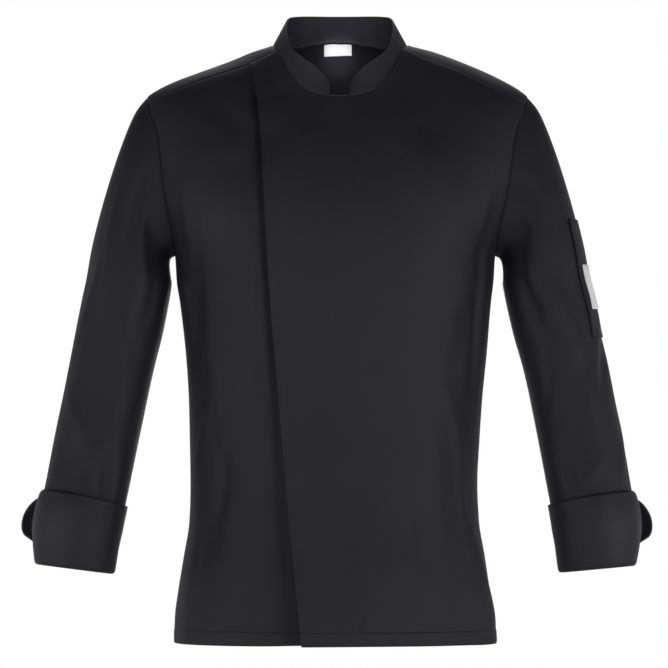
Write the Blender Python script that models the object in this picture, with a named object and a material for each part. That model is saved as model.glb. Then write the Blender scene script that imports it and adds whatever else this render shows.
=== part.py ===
"""Chef jacket: a hollow garment filled out as it is when worn, in cloth walls.

The torso is a stack of rounded sections.  A point on it is named by an angle
round the body (0 is the middle of the front, positive towards the wearer's
left) and a height.  Panels are grids of such points that share the points of
their seams, so neighbours follow one line a seam gap apart.  Sizes are in
millimetres: X is the wearer's left, Z is up, the front faces -Y, and the
origin is the middle of the neck between the two neck-shoulder points.
"""
import math

import bpy
import numpy as np

MM = 0.001
CLOTH = 1.6          # wall of single cloth
DOUBLED = 2.2        # wall of the collar and the cuffs
LABEL = 0.8          # wall of a label
SEAM_GAP = 0.3       # between neighbours at a seam
LAY_GAP = 0.5        # between a cloth and the one that lies on it

# Torso sections.
SECTION_COLUMNS = ("height", "half_width", "front", "back", "middle", "power")
SECTIONS = (
    (30.0, 40.0, 16.0, 42.0, 4.5, 2.00),
    (12.0, 67.0, 24.0, 56.0, 4.5, 2.00),
    (4.0, 79.0, 28.0, 63.0, 5.0, 2.00),
    (0.0, 88.0, 31.0, 66.0, 6.5, 2.00),
    (-8.0, 115.0, 36.0, 71.0, 9.5, 2.00),
    (-20.0, 146.0, 43.0, 78.0, 11.5, 2.00),
    (-32.0, 177.0, 50.0, 84.0, 9.5, 2.00),
    (-45.0, 208.0, 57.0, 90.0, 5.5, 2.00),
    (-56.0, 229.0, 63.0, 95.0, 3.5, 2.00),
    (-66.0, 242.0, 68.0, 98.0, 2.5, 2.00),
    (-80.0, 249.0, 76.0, 103.0, 2.0, 2.02),
    (-100.0, 252.0, 86.0, 108.0, 1.5, 2.05),
    (-140.0, 249.0, 102.0, 115.0, 1.0, 2.10),
    (-190.0, 235.0, 115.0, 121.0, 0.0, 2.20),
    (-230.0, 217.0, 121.0, 123.0, -0.5, 2.25),
    (-267.0, 203.0, 123.0, 123.0, -0.5, 2.30),
    (-298.0, 201.0, 123.0, 122.0, -0.5, 2.30),
    (-328.0, 197.0, 122.0, 119.0, 0.0, 2.30),
    (-389.0, 191.0, 118.0, 112.0, 1.0, 2.30),
    (-450.0, 186.0, 115.0, 106.0, 0.0, 2.30),
    (-495.0, 184.0, 114.0, 105.0, -1.0, 2.30),
    (-556.0, 182.0, 115.0, 108.0, -2.0, 2.30),
    (-602.0, 183.5, 118.0, 114.0, -1.5, 2.30),
    (-648.0, 190.5, 122.0, 120.0, -1.0, 2.30),
    (-693.0, 197.0, 126.0, 125.0, -1.0, 2.30),
    (-724.0, 200.5, 128.0, 127.0, -1.0, 2.30),
    (-770.0, 201.0, 129.0, 128.0, -1.0, 2.30),
)

# Hem.
HEM_FRONT = -749.0
HEM_SIDE = -757.0
HEM_BACK = -762.0

# Armholes: an oval seen from the side, fuller towards the armpit.
ARM_TOP = -66.0
ARM_BOTTOM = -267.0
ARM_FRONT = 53.0
ARM_BACK = 60.0
ARM_SKEW = 3.0
ARM_YOKE_FRONT = 30.0    # degrees down from the top where the yoke ends in front
ARM_YOKE_BACK = 46.0     # and behind

# Neckline and front yoke seam, seen from above: out from the middle, back.
PLAN_COLUMNS = ("across", "along")
NECK_FRONT = ((0.0, -70.0), (22.0, -69.0), (41.0, -65.0), (55.0, -58.0),
              (67.0, -47.0), (75.0, -36.0), (80.0, -26.0))
NECK_BACK = ((80.0, -26.0), (84.0, -13.0), (85.5, 0.0), (84.0, 12.0), (79.0, 24.0),
             (69.0, 36.0), (52.0, 47.0), (27.0, 54.0), (0.0, 56.0))
NECK_MIDDLE = 5.5
YOKE_SEAM = ((80.0, -26.0), (101.0, -30.0), (126.0, -32.0), (150.0, -32.0),
             (184.0, -32.0), (204.0, -31.0), (224.0, -28.0))
YOKE_TURNING = 113.0     # where the edge of a front meets the yoke
ARM_MIDDLE = 2.0
YOKE_BACK_MIDDLE = -88.0

# Edge of the outer front (its mirror is the edge of the under front).
EDGE_COLUMNS = ("height", "across")
EDGE = (
    (-20.0, 108.0), (-50.0, 104.0), (-82.0, 101.5), (-156.0, 95.0), (-213.0, 92.0), (-338.0, 86.0),
    (-411.0, 78.0), (-484.0, 73.0), (-580.0, 66.0), (-649.0, 58.0), (-733.0, 49.0),
    (-765.0, 46.0),
)
EDGE_LIFT = 7.0          # how far the edge stands away at the hem
EDGE_LIFT_START = -470.0
EDGE_LIFT_REACH = 55.0

# Side seams in degrees round the body, and their vents.
SEAM_COLUMNS = ("height", "left", "right")
SIDE_SEAMS = (
    (-267.0, 90.0, -90.0), (-330.0, 80.0, -90.0), (-411.0, 69.0, -91.0),
    (-507.0, 66.0, -92.0), (-580.0, 66.0, -92.0), (-640.0, 68.0, -92.0),
    (-770.0, 72.0, -92.0),
)
VENT_TOP = -580.0
VENT_LIFT = (6.0, 3.0)   # how far the left and right front edges stand away at the hem
VENT_REACH = 60.0
VENT_LAP = 11.0          # degrees that the left front laps over the back at the hem
VENT_GAP = 2.5           # degrees that the right vent stands open at the hem

# Grid of the panels.
ROWS_SIDE = 14           # hem to armpit
ROWS_ARM = 7             # armpit to yoke
COLUMNS_SIDE = 7         # side seam to the edge of a front
COLUMNS_CORNER = 2       # edge of a front to the corner of the neck
NECK_STEPS = (65.0, 47.0, 33.0, 21.0, 12.5)   # on to the collar's end at the middle
COLUMNS_ARM_YOKE = 4     # yoke columns that end on an armhole
COLUMNS_BACK = 20

# Top edge of the collar, seen from above and its height, beside the place of its
# foot as a share of the way from an end to the back middle.
COLLAR_COLUMNS = ("share", "across", "along", "height")
COLLAR_TOP = (
    (0.0, 12.4, -60.0, -55.5), (0.03, 18.0, -58.5, -44.0), (0.066, 25.5, -57.2, -35.5),
    (0.106, 33.0, -55.0, -28.5), (0.15, 42.0, -51.5, -22.5), (0.21, 53.0, -45.5, -13.5),
    (0.271, 61.5, -38.0, -4.5), (0.35, 66.5, -29.0, 8.0), (0.43, 68.5, -17.0, 19.0),
    (0.486, 68.8, -7.0, 26.0), (0.538, 68.2, 3.0, 31.5), (0.588, 66.5, 12.0, 35.5),
    (0.645, 62.0, 21.0, 38.7), (0.716, 52.5, 31.5, 40.8), (0.785, 41.0, 38.5, 41.8),
    (0.859, 27.5, 43.2, 42.2), (0.927, 14.5, 45.8, 42.3), (1.0, 0.0, 46.5, 42.3),
)
COLLAR_ROWS = 4

# Sleeves: centre of each ring and its half sizes.
SLEEVE_COLUMNS = ("height", "out_right", "out_left", "forward", "half_width", "half_depth")
SLEEVE = (
    (-300.0, 262.0, 266.5, 0.0, 54.0, 70.0),
    (-343.0, 270.0, 276.0, 3.0, 54.5, 68.0),
    (-404.0, 283.0, 291.0, 8.0, 53.0, 65.0),
    (-450.0, 292.0, 300.0, 13.0, 52.5, 62.0),
    (-495.0, 301.0, 308.5, 19.0, 52.5, 59.0),
    (-556.0, 312.5, 319.0, 28.0, 52.0, 54.0),
    (-600.0, 321.0, 326.0, 35.0, 51.5, 51.0),
    (-634.0, 326.0, 329.5, 39.0, 50.0, 49.0),
    (-668.0, 328.0, 330.5, 42.5, 47.5, 47.0),
    (-740.0, 346.0, 346.0, 46.5, 47.5, 47.0),
)
SLEEVE_POWER = 2.2
SLEEVE_RINGS = (-328.0, -358.0, -390.0, -422.0, -456.0, -490.0, -524.0, -556.0, -588.0,
                -622.0, -641.0, -657.6)
CAP_ROWS = 5
CAP_REACH = (20.0, 48.0, 13.0)      # how far the cap runs out at top, sides, underarm
CAP_SLOPE = 17.0
UNDER_REACH = 40.0
SLEEVE_END = -657.6

# Cuffs: pairs of points up from the sleeve end and out from the sleeve.
CUFF_COLUMNS = ("up_in", "out_in", "up_out", "out_out")
CUFF = (
    (24.0, -3.3, 24.0, -5.5), (3.0, -3.3, 3.0, -5.5), (-0.7, -3.0, -2.7, -4.4),
    (-0.6, 0.7, -2.6, 1.7), (4.0, 1.0, 4.0, 3.2), (28.0, 2.6, 28.0, 4.8),
    (46.0, 5.0, 46.0, 7.2), (66.0, 6.4, 66.0, 8.6), (84.3, 6.8, 84.3, 9.0),
)
CUFF_VENT = -13.5        # degrees from the outer side towards the back
CUFF_SLIT = 5.0          # degrees that the vent stands open
CUFF_SNUG = 0.1          # part of the stand-off that is left beside the body
CUFF_FLARE = 19.5        # how far the rear end of the vent stands out, and its reach
CUFF_FLARE_REACH = 40.0
CUFF_CORNERS = ((24.0, 40.0), (17.0, 36.0))   # drop and reach: rear end, front end

# Pocket and labels, as part of the length and degrees round the sleeve.
POCKET_TOP = -222.0
POCKET_BOTTOM = -370.0
POCKET_FRONT = 46.0
POCKET_REAR = -44.0
SLEEVE_LABEL_TOP = -279.0
SLEEVE_LABEL_BOTTOM = -335.0
SLEEVE_LABEL_FRONT = 38.0
SLEEVE_LABEL_REAR = 4.0
NECK_LABEL_ROWS = (0.3, 2.45)       # in grid rows of the yoke, out from the neck
NECK_LABEL_MIDDLE = 3.2
NECK_LABEL_WIDTH = 36.0

# Large soft folds of the torso: where, half sizes, turn in degrees, height.
FOLD_COLUMNS = ("angle", "height", "long", "wide", "turn", "out")
FOLDS = (
    (-42.0, -195.0, 60.0, 26.0, -12.0, 3.5),
    (40.0, -205.0, 60.0, 26.0, 12.0, 3.0),
    (-66.0, -330.0, 70.0, 15.0, -8.0, -4.0),
    (62.0, -300.0, 80.0, 12.0, 4.0, -4.0),
    (-50.0, -450.0, 45.0, 20.0, 20.0, 2.5),
    (38.0, -560.0, 110.0, 22.0, -4.0, 2.5),
    (-40.0, -640.0, 90.0, 24.0, 6.0, 2.5),
    (8.0, -690.0, 70.0, 22.0, 0.0, 2.5),
    (150.0, -420.0, 90.0, 20.0, 8.0, -4.0),
    (-150.0, -430.0, 90.0, 20.0, -10.0, -4.0),
    (180.0, -600.0, 120.0, 24.0, 0.0, 3.0),
    (128.0, -250.0, 70.0, 20.0, -18.0, 3.0),
    (-126.0, -260.0, 70.0, 20.0, 16.0, 3.0),
)
# Large soft folds of the sleeves, the angle from the outer side to the front.
SLEEVE_FOLDS = {
    "right": (
        (60.0, -250.0, 80.0, 10.0, 4.0, 3.5),
        (118.0, -240.0, 90.0, 10.0, -4.0, 3.5),
        (88.0, -440.0, 60.0, 14.0, 10.0, -3.5),
        (70.0, -540.0, 30.0, 16.0, 60.0, -3.5),
        (-80.0, -430.0, 60.0, 16.0, 20.0, -3.5),
    ),
    "left": (
        (120.0, -270.0, 100.0, 10.0, -22.0, 4.0),
        (60.0, -400.0, 50.0, 12.0, 30.0, -4.0),
        (96.0, -480.0, 60.0, 14.0, -14.0, -3.0),
        (-70.0, -450.0, 60.0, 16.0, -20.0, -3.5),
        (-8.0, -690.0, 60.0, 45.0, 0.0, -5.0),
    ),
}


def smooth(rows, column, at, key=0):
    """Value of a column at a place, on a curve that never overshoots its rows."""
    rows = sorted(rows)
    xs = [row[key] for row in rows]
    ys = [row[column] for row in rows]
    if at <= xs[0]:
        return ys[0]
    if at >= xs[-1]:
        return ys[-1]
    slopes = [(ys[i + 1] - ys[i]) / (xs[i + 1] - xs[i]) for i in range(len(xs) - 1)]
    tangents = [slopes[0]]
    for low, high in zip(slopes, slopes[1:]):
        tangents.append(0.0 if low * high <= 0.0 else 2.0 * low * high / (low + high))
    tangents.append(slopes[-1])
    i = max(k for k in range(len(xs) - 1) if xs[k] <= at)
    width = xs[i + 1] - xs[i]
    t = (at - xs[i]) / width
    start = (1 + 2 * t) * (1 - t) ** 2 * ys[i] + t * (1 - t) ** 2 * width * tangents[i]
    end = t * t * (3 - 2 * t) * ys[i + 1] - t * t * (1 - t) * width * tangents[i + 1]
    return start + end


def ease(value):
    """Soft step from 0 to 1."""
    value = min(max(value, 0.0), 1.0)
    return value * value * (3.0 - 2.0 * value)


def power_of(value, exponent):
    return math.copysign(abs(value) ** exponent, value)


def section(height):
    """The torso section at a height."""
    return [smooth(SECTIONS, column, height) for column in range(1, 6)]


def form(angle, height):
    """Point of the plain torso form."""
    half_width, front, back, middle, power = section(height)
    across = power_of(math.sin(angle), 2.0 / power)
    along = power_of(math.cos(angle), 2.0 / power)
    depth = front if along > 0.0 else back
    return np.array((middle + half_width * across, -depth * along, height))


def form_normal(angle, height):
    """Outward direction of the torso form."""
    step = 0.02
    around = form(angle + step, height) - form(angle - step, height)
    upward = form(angle, height + 2.0) - form(angle, height - 2.0)
    normal = np.cross(around, upward)
    return normal / np.linalg.norm(normal)


def fold_out(folds, angle, height, radius):
    """How far the soft folds lift the cloth at a place."""
    total = 0.0
    for fold_angle, fold_height, long, wide, turn, out in folds:
        across = (math.degrees(angle) - fold_angle + 180.0) % 360.0 - 180.0
        across = math.radians(across) * radius
        upward = height - fold_height
        turned = math.radians(turn)
        side = across * math.cos(turned) + upward * math.sin(turned)
        along = upward * math.cos(turned) - across * math.sin(turned)
        total += out * math.exp(-(side / wide) ** 2 - (along / long) ** 2)
    return total


def skin(angle, height, offset=0.0):
    """Point of the torso cloth, moved out by an offset."""
    lift = fold_out(FOLDS, angle, height, 160.0)
    return form(angle, height) + form_normal(angle, height) * (lift + offset)


def angle_of(x, height):
    """Angle round the front of the body of a point at a distance to the side."""
    half_width, _, _, middle, power = section(height)
    ratio = min(max((x - middle) / half_width, -1.0), 1.0)
    return math.asin(power_of(ratio, power / 2.0))


def on_plan(x, y):
    """Angle and height of the shoulder point above a plan position."""
    low, high = -150.0, 29.0
    for _ in range(40):
        height = (low + high) / 2.0
        half_width, front, back, middle, power = section(height)
        depth = front if y < 0.0 else back
        size = abs((x - middle) / half_width) ** power + abs(y / depth) ** power
        if size > 1.0:
            high = height
        else:
            low = height
    half_width, front, back, middle, power = section(low)
    across = power_of((x - middle) / half_width, power / 2.0)
    depth = front if y < 0.0 else back
    along = power_of(-y / depth, power / 2.0)
    return math.atan2(across, along), low


def armhole(turn, side):
    """Angle and height on an armhole, from its top round the front (degrees)."""
    turned = math.radians(turn)
    height = (ARM_TOP + ARM_BOTTOM) / 2 + (ARM_TOP - ARM_BOTTOM) / 2 * math.cos(turned)
    reach = (ARM_FRONT if turn >= 0.0 else ARM_BACK) * abs(math.sin(turned))
    reach -= ARM_SKEW * math.sin(2.0 * abs(turned))
    _, front, back, _, power = section(height)
    depth = front if turn >= 0.0 else back
    if abs(turn) in (0.0, 180.0):
        reach = 0.0
    cosine = min(reach / depth, 1.0) ** (power / 2.0)
    angle = math.acos(cosine)
    if turn < 0.0:
        angle = math.pi - angle
    return side * angle, height


def seam_place(height, side):
    """Angle and height on a side seam."""
    column = 1 if side > 0 else 2
    return math.radians(smooth(SIDE_SEAMS, column, height)), height


def hem(angle):
    """Height of the hem at an angle."""
    front = math.cos(angle)
    if front >= 0.0:
        return HEM_SIDE + (HEM_FRONT - HEM_SIDE) * front
    return HEM_SIDE - (HEM_BACK - HEM_SIDE) * front


def side_heights(side):
    """Heights of the rows on a side seam, hem to armpit."""
    low = hem(seam_place(HEM_SIDE, side)[0])
    return [low + (ARM_BOTTOM - low) * row / ROWS_SIDE for row in range(ROWS_SIDE + 1)]


def along_line(rows, count):
    """Evenly spaced points on a polyline of pairs."""
    points = np.array(rows, float)
    lengths = np.r_[0.0, np.cumsum(np.linalg.norm(np.diff(points, axis=0), axis=1))]
    places = np.linspace(0.0, lengths[-1], count + 1)
    return [tuple(np.interp(place, lengths, points[:, axis]) for axis in range(2))
            for place in places]


def front_top(side):
    """Top edge of a front from the armhole to the middle, as angle and height."""
    junction = form(*armhole(ARM_YOKE_FRONT, side))
    end = (abs(junction[0] - ARM_MIDDLE), junction[1])
    turning = (YOKE_TURNING, smooth(YOKE_SEAM, 1, YOKE_TURNING))
    seam = [row for row in YOKE_SEAM if row[0] > YOKE_TURNING]
    corner = [row for row in YOKE_SEAM if row[0] < YOKE_TURNING]
    outer = along_line([turning] + seam + [end], COLUMNS_SIDE)
    inner = along_line(corner + [turning], COLUMNS_CORNER)
    places = [armhole(ARM_YOKE_FRONT, side)]
    for across, along in outer[-2::-1] + inner[-2::-1]:
        share = (across - YOKE_SEAM[0][0]) / (end[0] - YOKE_SEAM[0][0])
        middle = NECK_MIDDLE + (ARM_MIDDLE - NECK_MIDDLE) * share
        places.append(on_plan(middle + side * across, along))
    for across in NECK_STEPS:
        places.append(on_plan(NECK_MIDDLE + side * across, smooth(NECK_FRONT, 1, across)))
    return places


def armhole_turns(stop):
    """Turns of evenly spaced points on an armhole, from its bottom to a turn."""
    fine = np.linspace(180.0 * np.sign(stop), stop, 241)
    points = np.array([skin(*armhole(turn, 1)) for turn in fine])
    lengths = np.r_[0.0, np.cumsum(np.linalg.norm(np.diff(points, axis=0), axis=1))]
    return [float(np.interp(lengths[-1] * k / ROWS_ARM, lengths, fine))
            for k in range(ROWS_ARM + 1)]


def fill(sides, top):
    """Grid between known columns, hem upwards, that rises to a known top edge.

    The known columns are (column, angles and heights row by row), and the
    first and the last of them hold the side seams and the armholes.
    """
    last = sides[-1][0]
    rows = ROWS_SIDE + ROWS_ARM
    grid = [[None] * (last + 1) for _ in range(rows + 1)]
    for (low, low_line), (high, high_line) in zip(sides, sides[1:]):
        for column in range(low, high + 1):
            even = (column - low) / (high - low)
            spread = (top[column][0] - top[low][0]) / (top[high][0] - top[low][0])
            foot_angle = low_line[0][0] + (high_line[0][0] - low_line[0][0]) * even
            for row in range(rows + 1):
                up = max(row - ROWS_SIDE, 0) / ROWS_ARM
                part = even + (spread - even) * ease(up)
                angle = low_line[row][0] + (high_line[row][0] - low_line[row][0]) * part
                height = height_on(row, foot_angle, top[column][1])
                for edge, line in (sides[0], sides[-1]):
                    near = max(0.0, 1.0 - abs(column - edge) / 4.0) ** 2
                    plain = height_on(row, line[0][0], top[edge][1])
                    height += near * (line[row][1] - plain)
                grid[row][column] = (angle, height)
    for column, line in sides:
        for row in range(rows + 1):
            grid[row][column] = line[row]
    return grid


def height_on(row, foot_angle, top_height):
    """Height of a row on a column: level to the armpit, then up to the top edge."""
    foot = hem(foot_angle)
    if row <= ROWS_SIDE:
        return foot + (ARM_BOTTOM - foot) * row / ROWS_SIDE
    return ARM_BOTTOM + (top_height - ARM_BOTTOM) * (row - ROWS_SIDE) / ROWS_ARM


def front_places():
    """Angle and height of each grid point of the whole front, hem upwards."""
    right_top = front_top(-1)
    left_top = front_top(1)
    top = right_top + left_top[::-1]
    last = len(top) - 1
    lines = []
    for side in (-1, 1):
        line = [seam_place(height, side) for height in side_heights(side)]
        line += [armhole(turn, side) for turn in armhole_turns(ARM_YOKE_FRONT)[1:]]
        lines.append(line)
    edges = []
    for column, side in ((COLUMNS_SIDE, -1), (last - COLUMNS_SIDE, 1)):
        foot_angle = angle_of(side * EDGE[-1][1], HEM_FRONT)
        line = []
        for row in range(ROWS_SIDE + ROWS_ARM + 1):
            height = height_on(row, foot_angle, top[column][1])
            line.append((angle_of(side * smooth(EDGE, 1, height), height), height))
        line[-1] = top[column]
        edges.append((column, line))
    grid = fill([(0, lines[0])] + edges + [(last, lines[1])], top)
    return grid, COLUMNS_SIDE, last - COLUMNS_SIDE


def lay_out(column, first, last):
    """Offset of the outer front: over the other front, then down to its own seam."""
    lift = CLOTH + LAY_GAP
    if column <= first:
        return lift
    return lift * (1.0 - ease((column - first) / (last - first - 2.0)))


def vent_lift(place, side):
    """How far a front stands away beside its vent."""
    angle, height = place
    if height >= VENT_TOP:
        return 0.0
    seam = seam_place(height, side)[0]
    distance = abs(seam - angle) * 165.0
    drop = (VENT_TOP - height) / (VENT_TOP - HEM_SIDE)
    near = 1.0 - ease(distance / VENT_REACH)
    lap = 3.4 * ease(drop * 5.0) if side > 0 else 0.0
    return near * (lap + VENT_LIFT[0 if side > 0 else 1] * drop)


def edge_lift(place):
    """How far the outer front's edge stands away towards the hem."""
    angle, height = place
    if height >= EDGE_LIFT_START:
        return 0.0
    edge = angle_of(-smooth(EDGE, 1, height), height)
    distance = (angle - edge) * 160.0
    drop = (EDGE_LIFT_START - height) / (EDGE_LIFT_START - HEM_FRONT)
    return EDGE_LIFT * ease(drop) * (1.0 - ease(distance / EDGE_LIFT_REACH))


def moved_seam(place, side):
    """The vent edge of a front: lapped over the back or drawn open."""
    angle, height = place
    if height >= VENT_TOP:
        return place
    drop = (VENT_TOP - height) / (VENT_TOP - HEM_SIDE)
    if side > 0:
        return angle + math.radians(VENT_LAP) * ease(drop * 1.3 - 0.3), height
    return angle + math.radians(VENT_GAP) * ease(drop), height


def inset(points, closed=False, sides="lrbt"):
    """Draw the open borders of a grid in by half a seam gap."""
    moved = points.copy()
    half = SEAM_GAP / 2.0

    def pull(border, inner):
        direction = inner - border
        length = np.linalg.norm(direction, axis=-1, keepdims=True)
        return direction / np.maximum(length, 1e-9) * half

    if "b" in sides:
        moved[0] += pull(points[0], points[1])
    if "t" in sides:
        moved[-1] += pull(points[-1], points[-2])
    if not closed and "l" in sides:
        moved[:, 0] += pull(points[:, 0], points[:, 1])
    if not closed and "r" in sides:
        moved[:, -1] += pull(points[:, -1], points[:, -2])
    return moved


def material(name, colour, roughness):
    made = bpy.data.materials.new(name)
    made.use_nodes = True
    shader = made.node_tree.nodes["Principled BSDF"]
    shader.inputs["Base Color"].default_value = (*colour, 1.0)
    shader.inputs["Roughness"].default_value = roughness
    return made


def wall(name, outer, inner, look, closed=False):
    """Closed wall between an outer and an inner grid of points (rows, columns)."""
    rows, columns = outer.shape[:2]
    count = rows * columns
    points = np.concatenate((outer.reshape(-1, 3), inner.reshape(-1, 3))) * MM
    spans = columns if closed else columns - 1

    def at(row, column, layer):
        return layer * count + row * columns + column % columns

    faces = []
    for row in range(rows - 1):
        for column in range(spans):
            a, b = (row, column), (row, column + 1)
            c, d = (row + 1, column + 1), (row + 1, column)
            ends = [points[at(*corner, 0)] for corner in (a, b, c, d)]
            split = ((a, b, c), (a, c, d))
            if np.linalg.norm(ends[1] - ends[3]) < np.linalg.norm(ends[0] - ends[2]):
                split = ((a, b, d), (b, c, d))
            for corners in split:
                faces.append([at(*corner, 0) for corner in corners])
                faces.append([at(*corner, 1) for corner in reversed(corners)])
    for column in range(spans):
        faces.append([at(0, column + 1, 0), at(0, column, 0),
                      at(0, column, 1), at(0, column + 1, 1)])
        faces.append([at(rows - 1, column, 0), at(rows - 1, column + 1, 0),
                      at(rows - 1, column + 1, 1), at(rows - 1, column, 1)])
    if not closed:
        for row in range(rows - 1):
            faces.append([at(row, 0, 0), at(row + 1, 0, 0), at(row + 1, 0, 1), at(row, 0, 1)])
            faces.append([at(row + 1, columns - 1, 0), at(row, columns - 1, 0),
                          at(row, columns - 1, 1), at(row + 1, columns - 1, 1)])
    volume = 0.0
    for face in faces:
        for second, third in zip(face[1:], face[2:]):
            volume += np.dot(points[face[0]], np.cross(points[second], points[third]))
    if volume < 0.0:
        faces = [face[::-1] for face in faces]
    mesh = bpy.data.meshes.new(name)
    mesh.from_pydata([tuple(point) for point in points], [], faces)
    mesh.materials.append(look)
    mesh.update()
    made = bpy.data.objects.new(name, mesh)
    bpy.context.collection.objects.link(made)
    return made


def panel(name, places, offsets, look, thickness=CLOTH):
    """Wall of cloth on the torso form from grid places and their offsets."""
    outer = np.array([[skin(a, h, o) for (a, h), o in zip(line, more)]
                      for line, more in zip(places, offsets)])
    inner = np.array([[skin(a, h, o - thickness) for (a, h), o in zip(line, more)]
                      for line, more in zip(places, offsets)])
    drawn = inset(outer)
    return wall(name, drawn, inner + (drawn - outer), look), outer


def build_fronts(look):
    """The two fronts, from one grid."""
    grid, edge_right, edge_left = front_places()
    last = len(grid[0]) - 1
    under = [line[:edge_left + 1] for line in grid]
    under = [[moved_seam(line[0], -1)] + line[1:] for line in under]
    under_out = [[vent_lift(place, -1) for place in line] for line in under]
    panel("under_front", under, under_out, look)
    outer = [line[edge_right:] for line in grid]
    outer = [line[:-1] + [moved_seam(line[-1], 1)] for line in outer]
    outer_out = []
    for line in outer:
        offsets = []
        for k, place in enumerate(line):
            offset = lay_out(edge_right + k, edge_left + 1, last)
            offsets.append(offset + edge_lift(place) + vent_lift(place, 1))
        outer_out.append(offsets)
    panel("outer_front", outer, outer_out, look)
    return grid


def neck_line():
    """Neck points of the yoke from the right corner round the back, angle and height."""
    half = along_line(NECK_BACK, 100)
    steps = COLUMNS_BACK // 2
    marks = [0, 9, 18, 27, 37] + [round(37 + 63 * k / steps) for k in range(1, steps + 1)]
    right = [on_plan(NECK_MIDDLE - half[mark][0], half[mark][1]) for mark in marks]
    left = [on_plan(NECK_MIDDLE + half[mark][0], half[mark][1]) for mark in marks]
    return right + left[-2::-1]


def back_seam():
    """Back yoke seam from the right armhole to the left, angle and height."""
    right = armhole(-ARM_YOKE_BACK, -1)
    left = armhole(-ARM_YOKE_BACK, 1)
    places = []
    for k in range(COLUMNS_BACK + 1):
        part = k / COLUMNS_BACK
        angle = right[0] + (left[0] - 2.0 * math.pi - right[0]) * part
        height = right[1] + (YOKE_BACK_MIDDLE - right[1]) * math.sin(math.pi * part)
        places.append((angle, height))
    return places


def build_yoke(grid, look):
    """The yoke: neck inside, armholes and back seam outside, front seams as ends."""
    rows = COLUMNS_SIDE + COLUMNS_CORNER
    inner = neck_line()
    turns = np.linspace(ARM_YOKE_FRONT, -ARM_YOKE_BACK, COLUMNS_ARM_YOKE + 1)
    outer = [armhole(turn, -1) for turn in turns]
    outer += back_seam()[1:]
    outer += [armhole(turn, 1) for turn in turns[-2::-1]]
    ends = {0: [grid[-1][rows - k] for k in range(rows + 1)],
            len(outer) - 1: [grid[-1][len(grid[-1]) - 1 - rows + k] for k in range(rows + 1)]}
    lines = []
    for k, (near, far) in enumerate(zip(inner, outer)):
        if k in ends:
            lines.append(ends[k])
            continue
        start = form(*near)
        end = form(*far)
        line = [near]
        for row in range(1, rows):
            part = row / rows
            plan = start + (end - start) * part
            line.append(on_plan(plan[0], plan[1]))
        lines.append(line + [far])
    places = [[lines[k][row] for k in range(len(lines))] for row in range(rows + 1)]
    offsets = [[0.0] * len(lines) for _ in places]
    _, points = panel("yoke", places, offsets, look)
    return points


def build_back(look):
    """The back, from the left side seam round to the right one."""
    top = back_seam()[::-1]
    top = [(angle + 2.0 * math.pi, height) for angle, height in top]
    left, right = [], []
    for side, line in ((1, left), (-1, right)):
        for height in side_heights(side):
            angle = seam_place(height, side)[0]
            line.append((angle if side > 0 else angle + 2.0 * math.pi, height))
        for turn in armhole_turns(-ARM_YOKE_BACK)[1:]:
            angle, height = armhole(turn, side)
            line.append((angle if side > 0 else angle + 2.0 * math.pi, height))
    places = fill([(0, left), (COLUMNS_BACK, right)], top)
    offsets = [[0.0] * (COLUMNS_BACK + 1) for _ in places]
    panel("back", places, offsets, look)


def build_collar(grid, look):
    """Stand collar on the neck points, from its right end round the back."""
    top = grid[-1]
    corner = COLUMNS_SIDE + COLUMNS_CORNER
    middle = len(top) // 2
    right_front = top[corner + 1:middle]
    left_front = top[middle:len(top) - corner - 1]
    places = right_front[::-1] + neck_line() + left_front[::-1]
    neck = len(places)
    feet = []
    for k, (angle, height) in enumerate(places):
        beyond = min(k, neck - 1 - k) - len(right_front)
        out = (CLOTH + LAY_GAP) * (1.0 - ease(beyond / 3.0))
        feet.append(skin(angle, height, out))
    feet = np.array(feet)
    steps = np.linalg.norm(np.diff(feet, axis=0), axis=1)
    length = np.r_[0.0, np.cumsum(steps)]
    tops = []
    for place in length:
        share = min(place, length[-1] - place) * 2.0 / length[-1]
        side = -1.0 if place < length[-1] / 2.0 else 1.0
        across, along, height = [smooth(COLLAR_TOP, column, share) for column in (1, 2, 3)]
        tops.append((NECK_MIDDLE + side * across, along, height))
    tops = np.array(tops)
    rising = tops - feet
    feet = feet + rising / np.linalg.norm(rising, axis=1, keepdims=True) * (SEAM_GAP + 0.1)
    outer = np.array([feet + (tops - feet) * row / COLLAR_ROWS
                      for row in range(COLLAR_ROWS + 1)])
    inner = outer - grid_normals(outer) * DOUBLED
    rise = outer[1] - outer[0]
    inner[0] += rise / np.linalg.norm(rise, axis=-1, keepdims=True) * DOUBLED * 0.6
    return wall("collar", outer, inner, look)


def grid_normals(points, closed=False):
    """Outward directions of a grid of points."""
    if closed:
        around = np.roll(points, -1, axis=1) - np.roll(points, 1, axis=1)
    else:
        around = np.gradient(points, axis=1)
    upward = np.gradient(points, axis=0)
    normals = np.cross(around, upward)
    return normals / np.linalg.norm(normals, axis=-1, keepdims=True)


def sleeve_turns(even=0.0):
    """Degrees round a sleeve of its columns: as on the armhole, or evened out."""
    over = np.linspace(-ARM_YOKE_BACK, ARM_YOKE_FRONT, COLUMNS_ARM_YOKE + 1)
    front = armhole_turns(ARM_YOKE_FRONT)[::-1]
    rear = armhole_turns(-ARM_YOKE_BACK)
    turns = np.array(list(over[:-1]) + front[:-1] + [turn + 360.0 for turn in rear[:-1]])
    count = len(turns)
    level = turns[0] + 360.0 * np.arange(count) / count
    return list(turns + (level - turns) * even)


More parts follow.
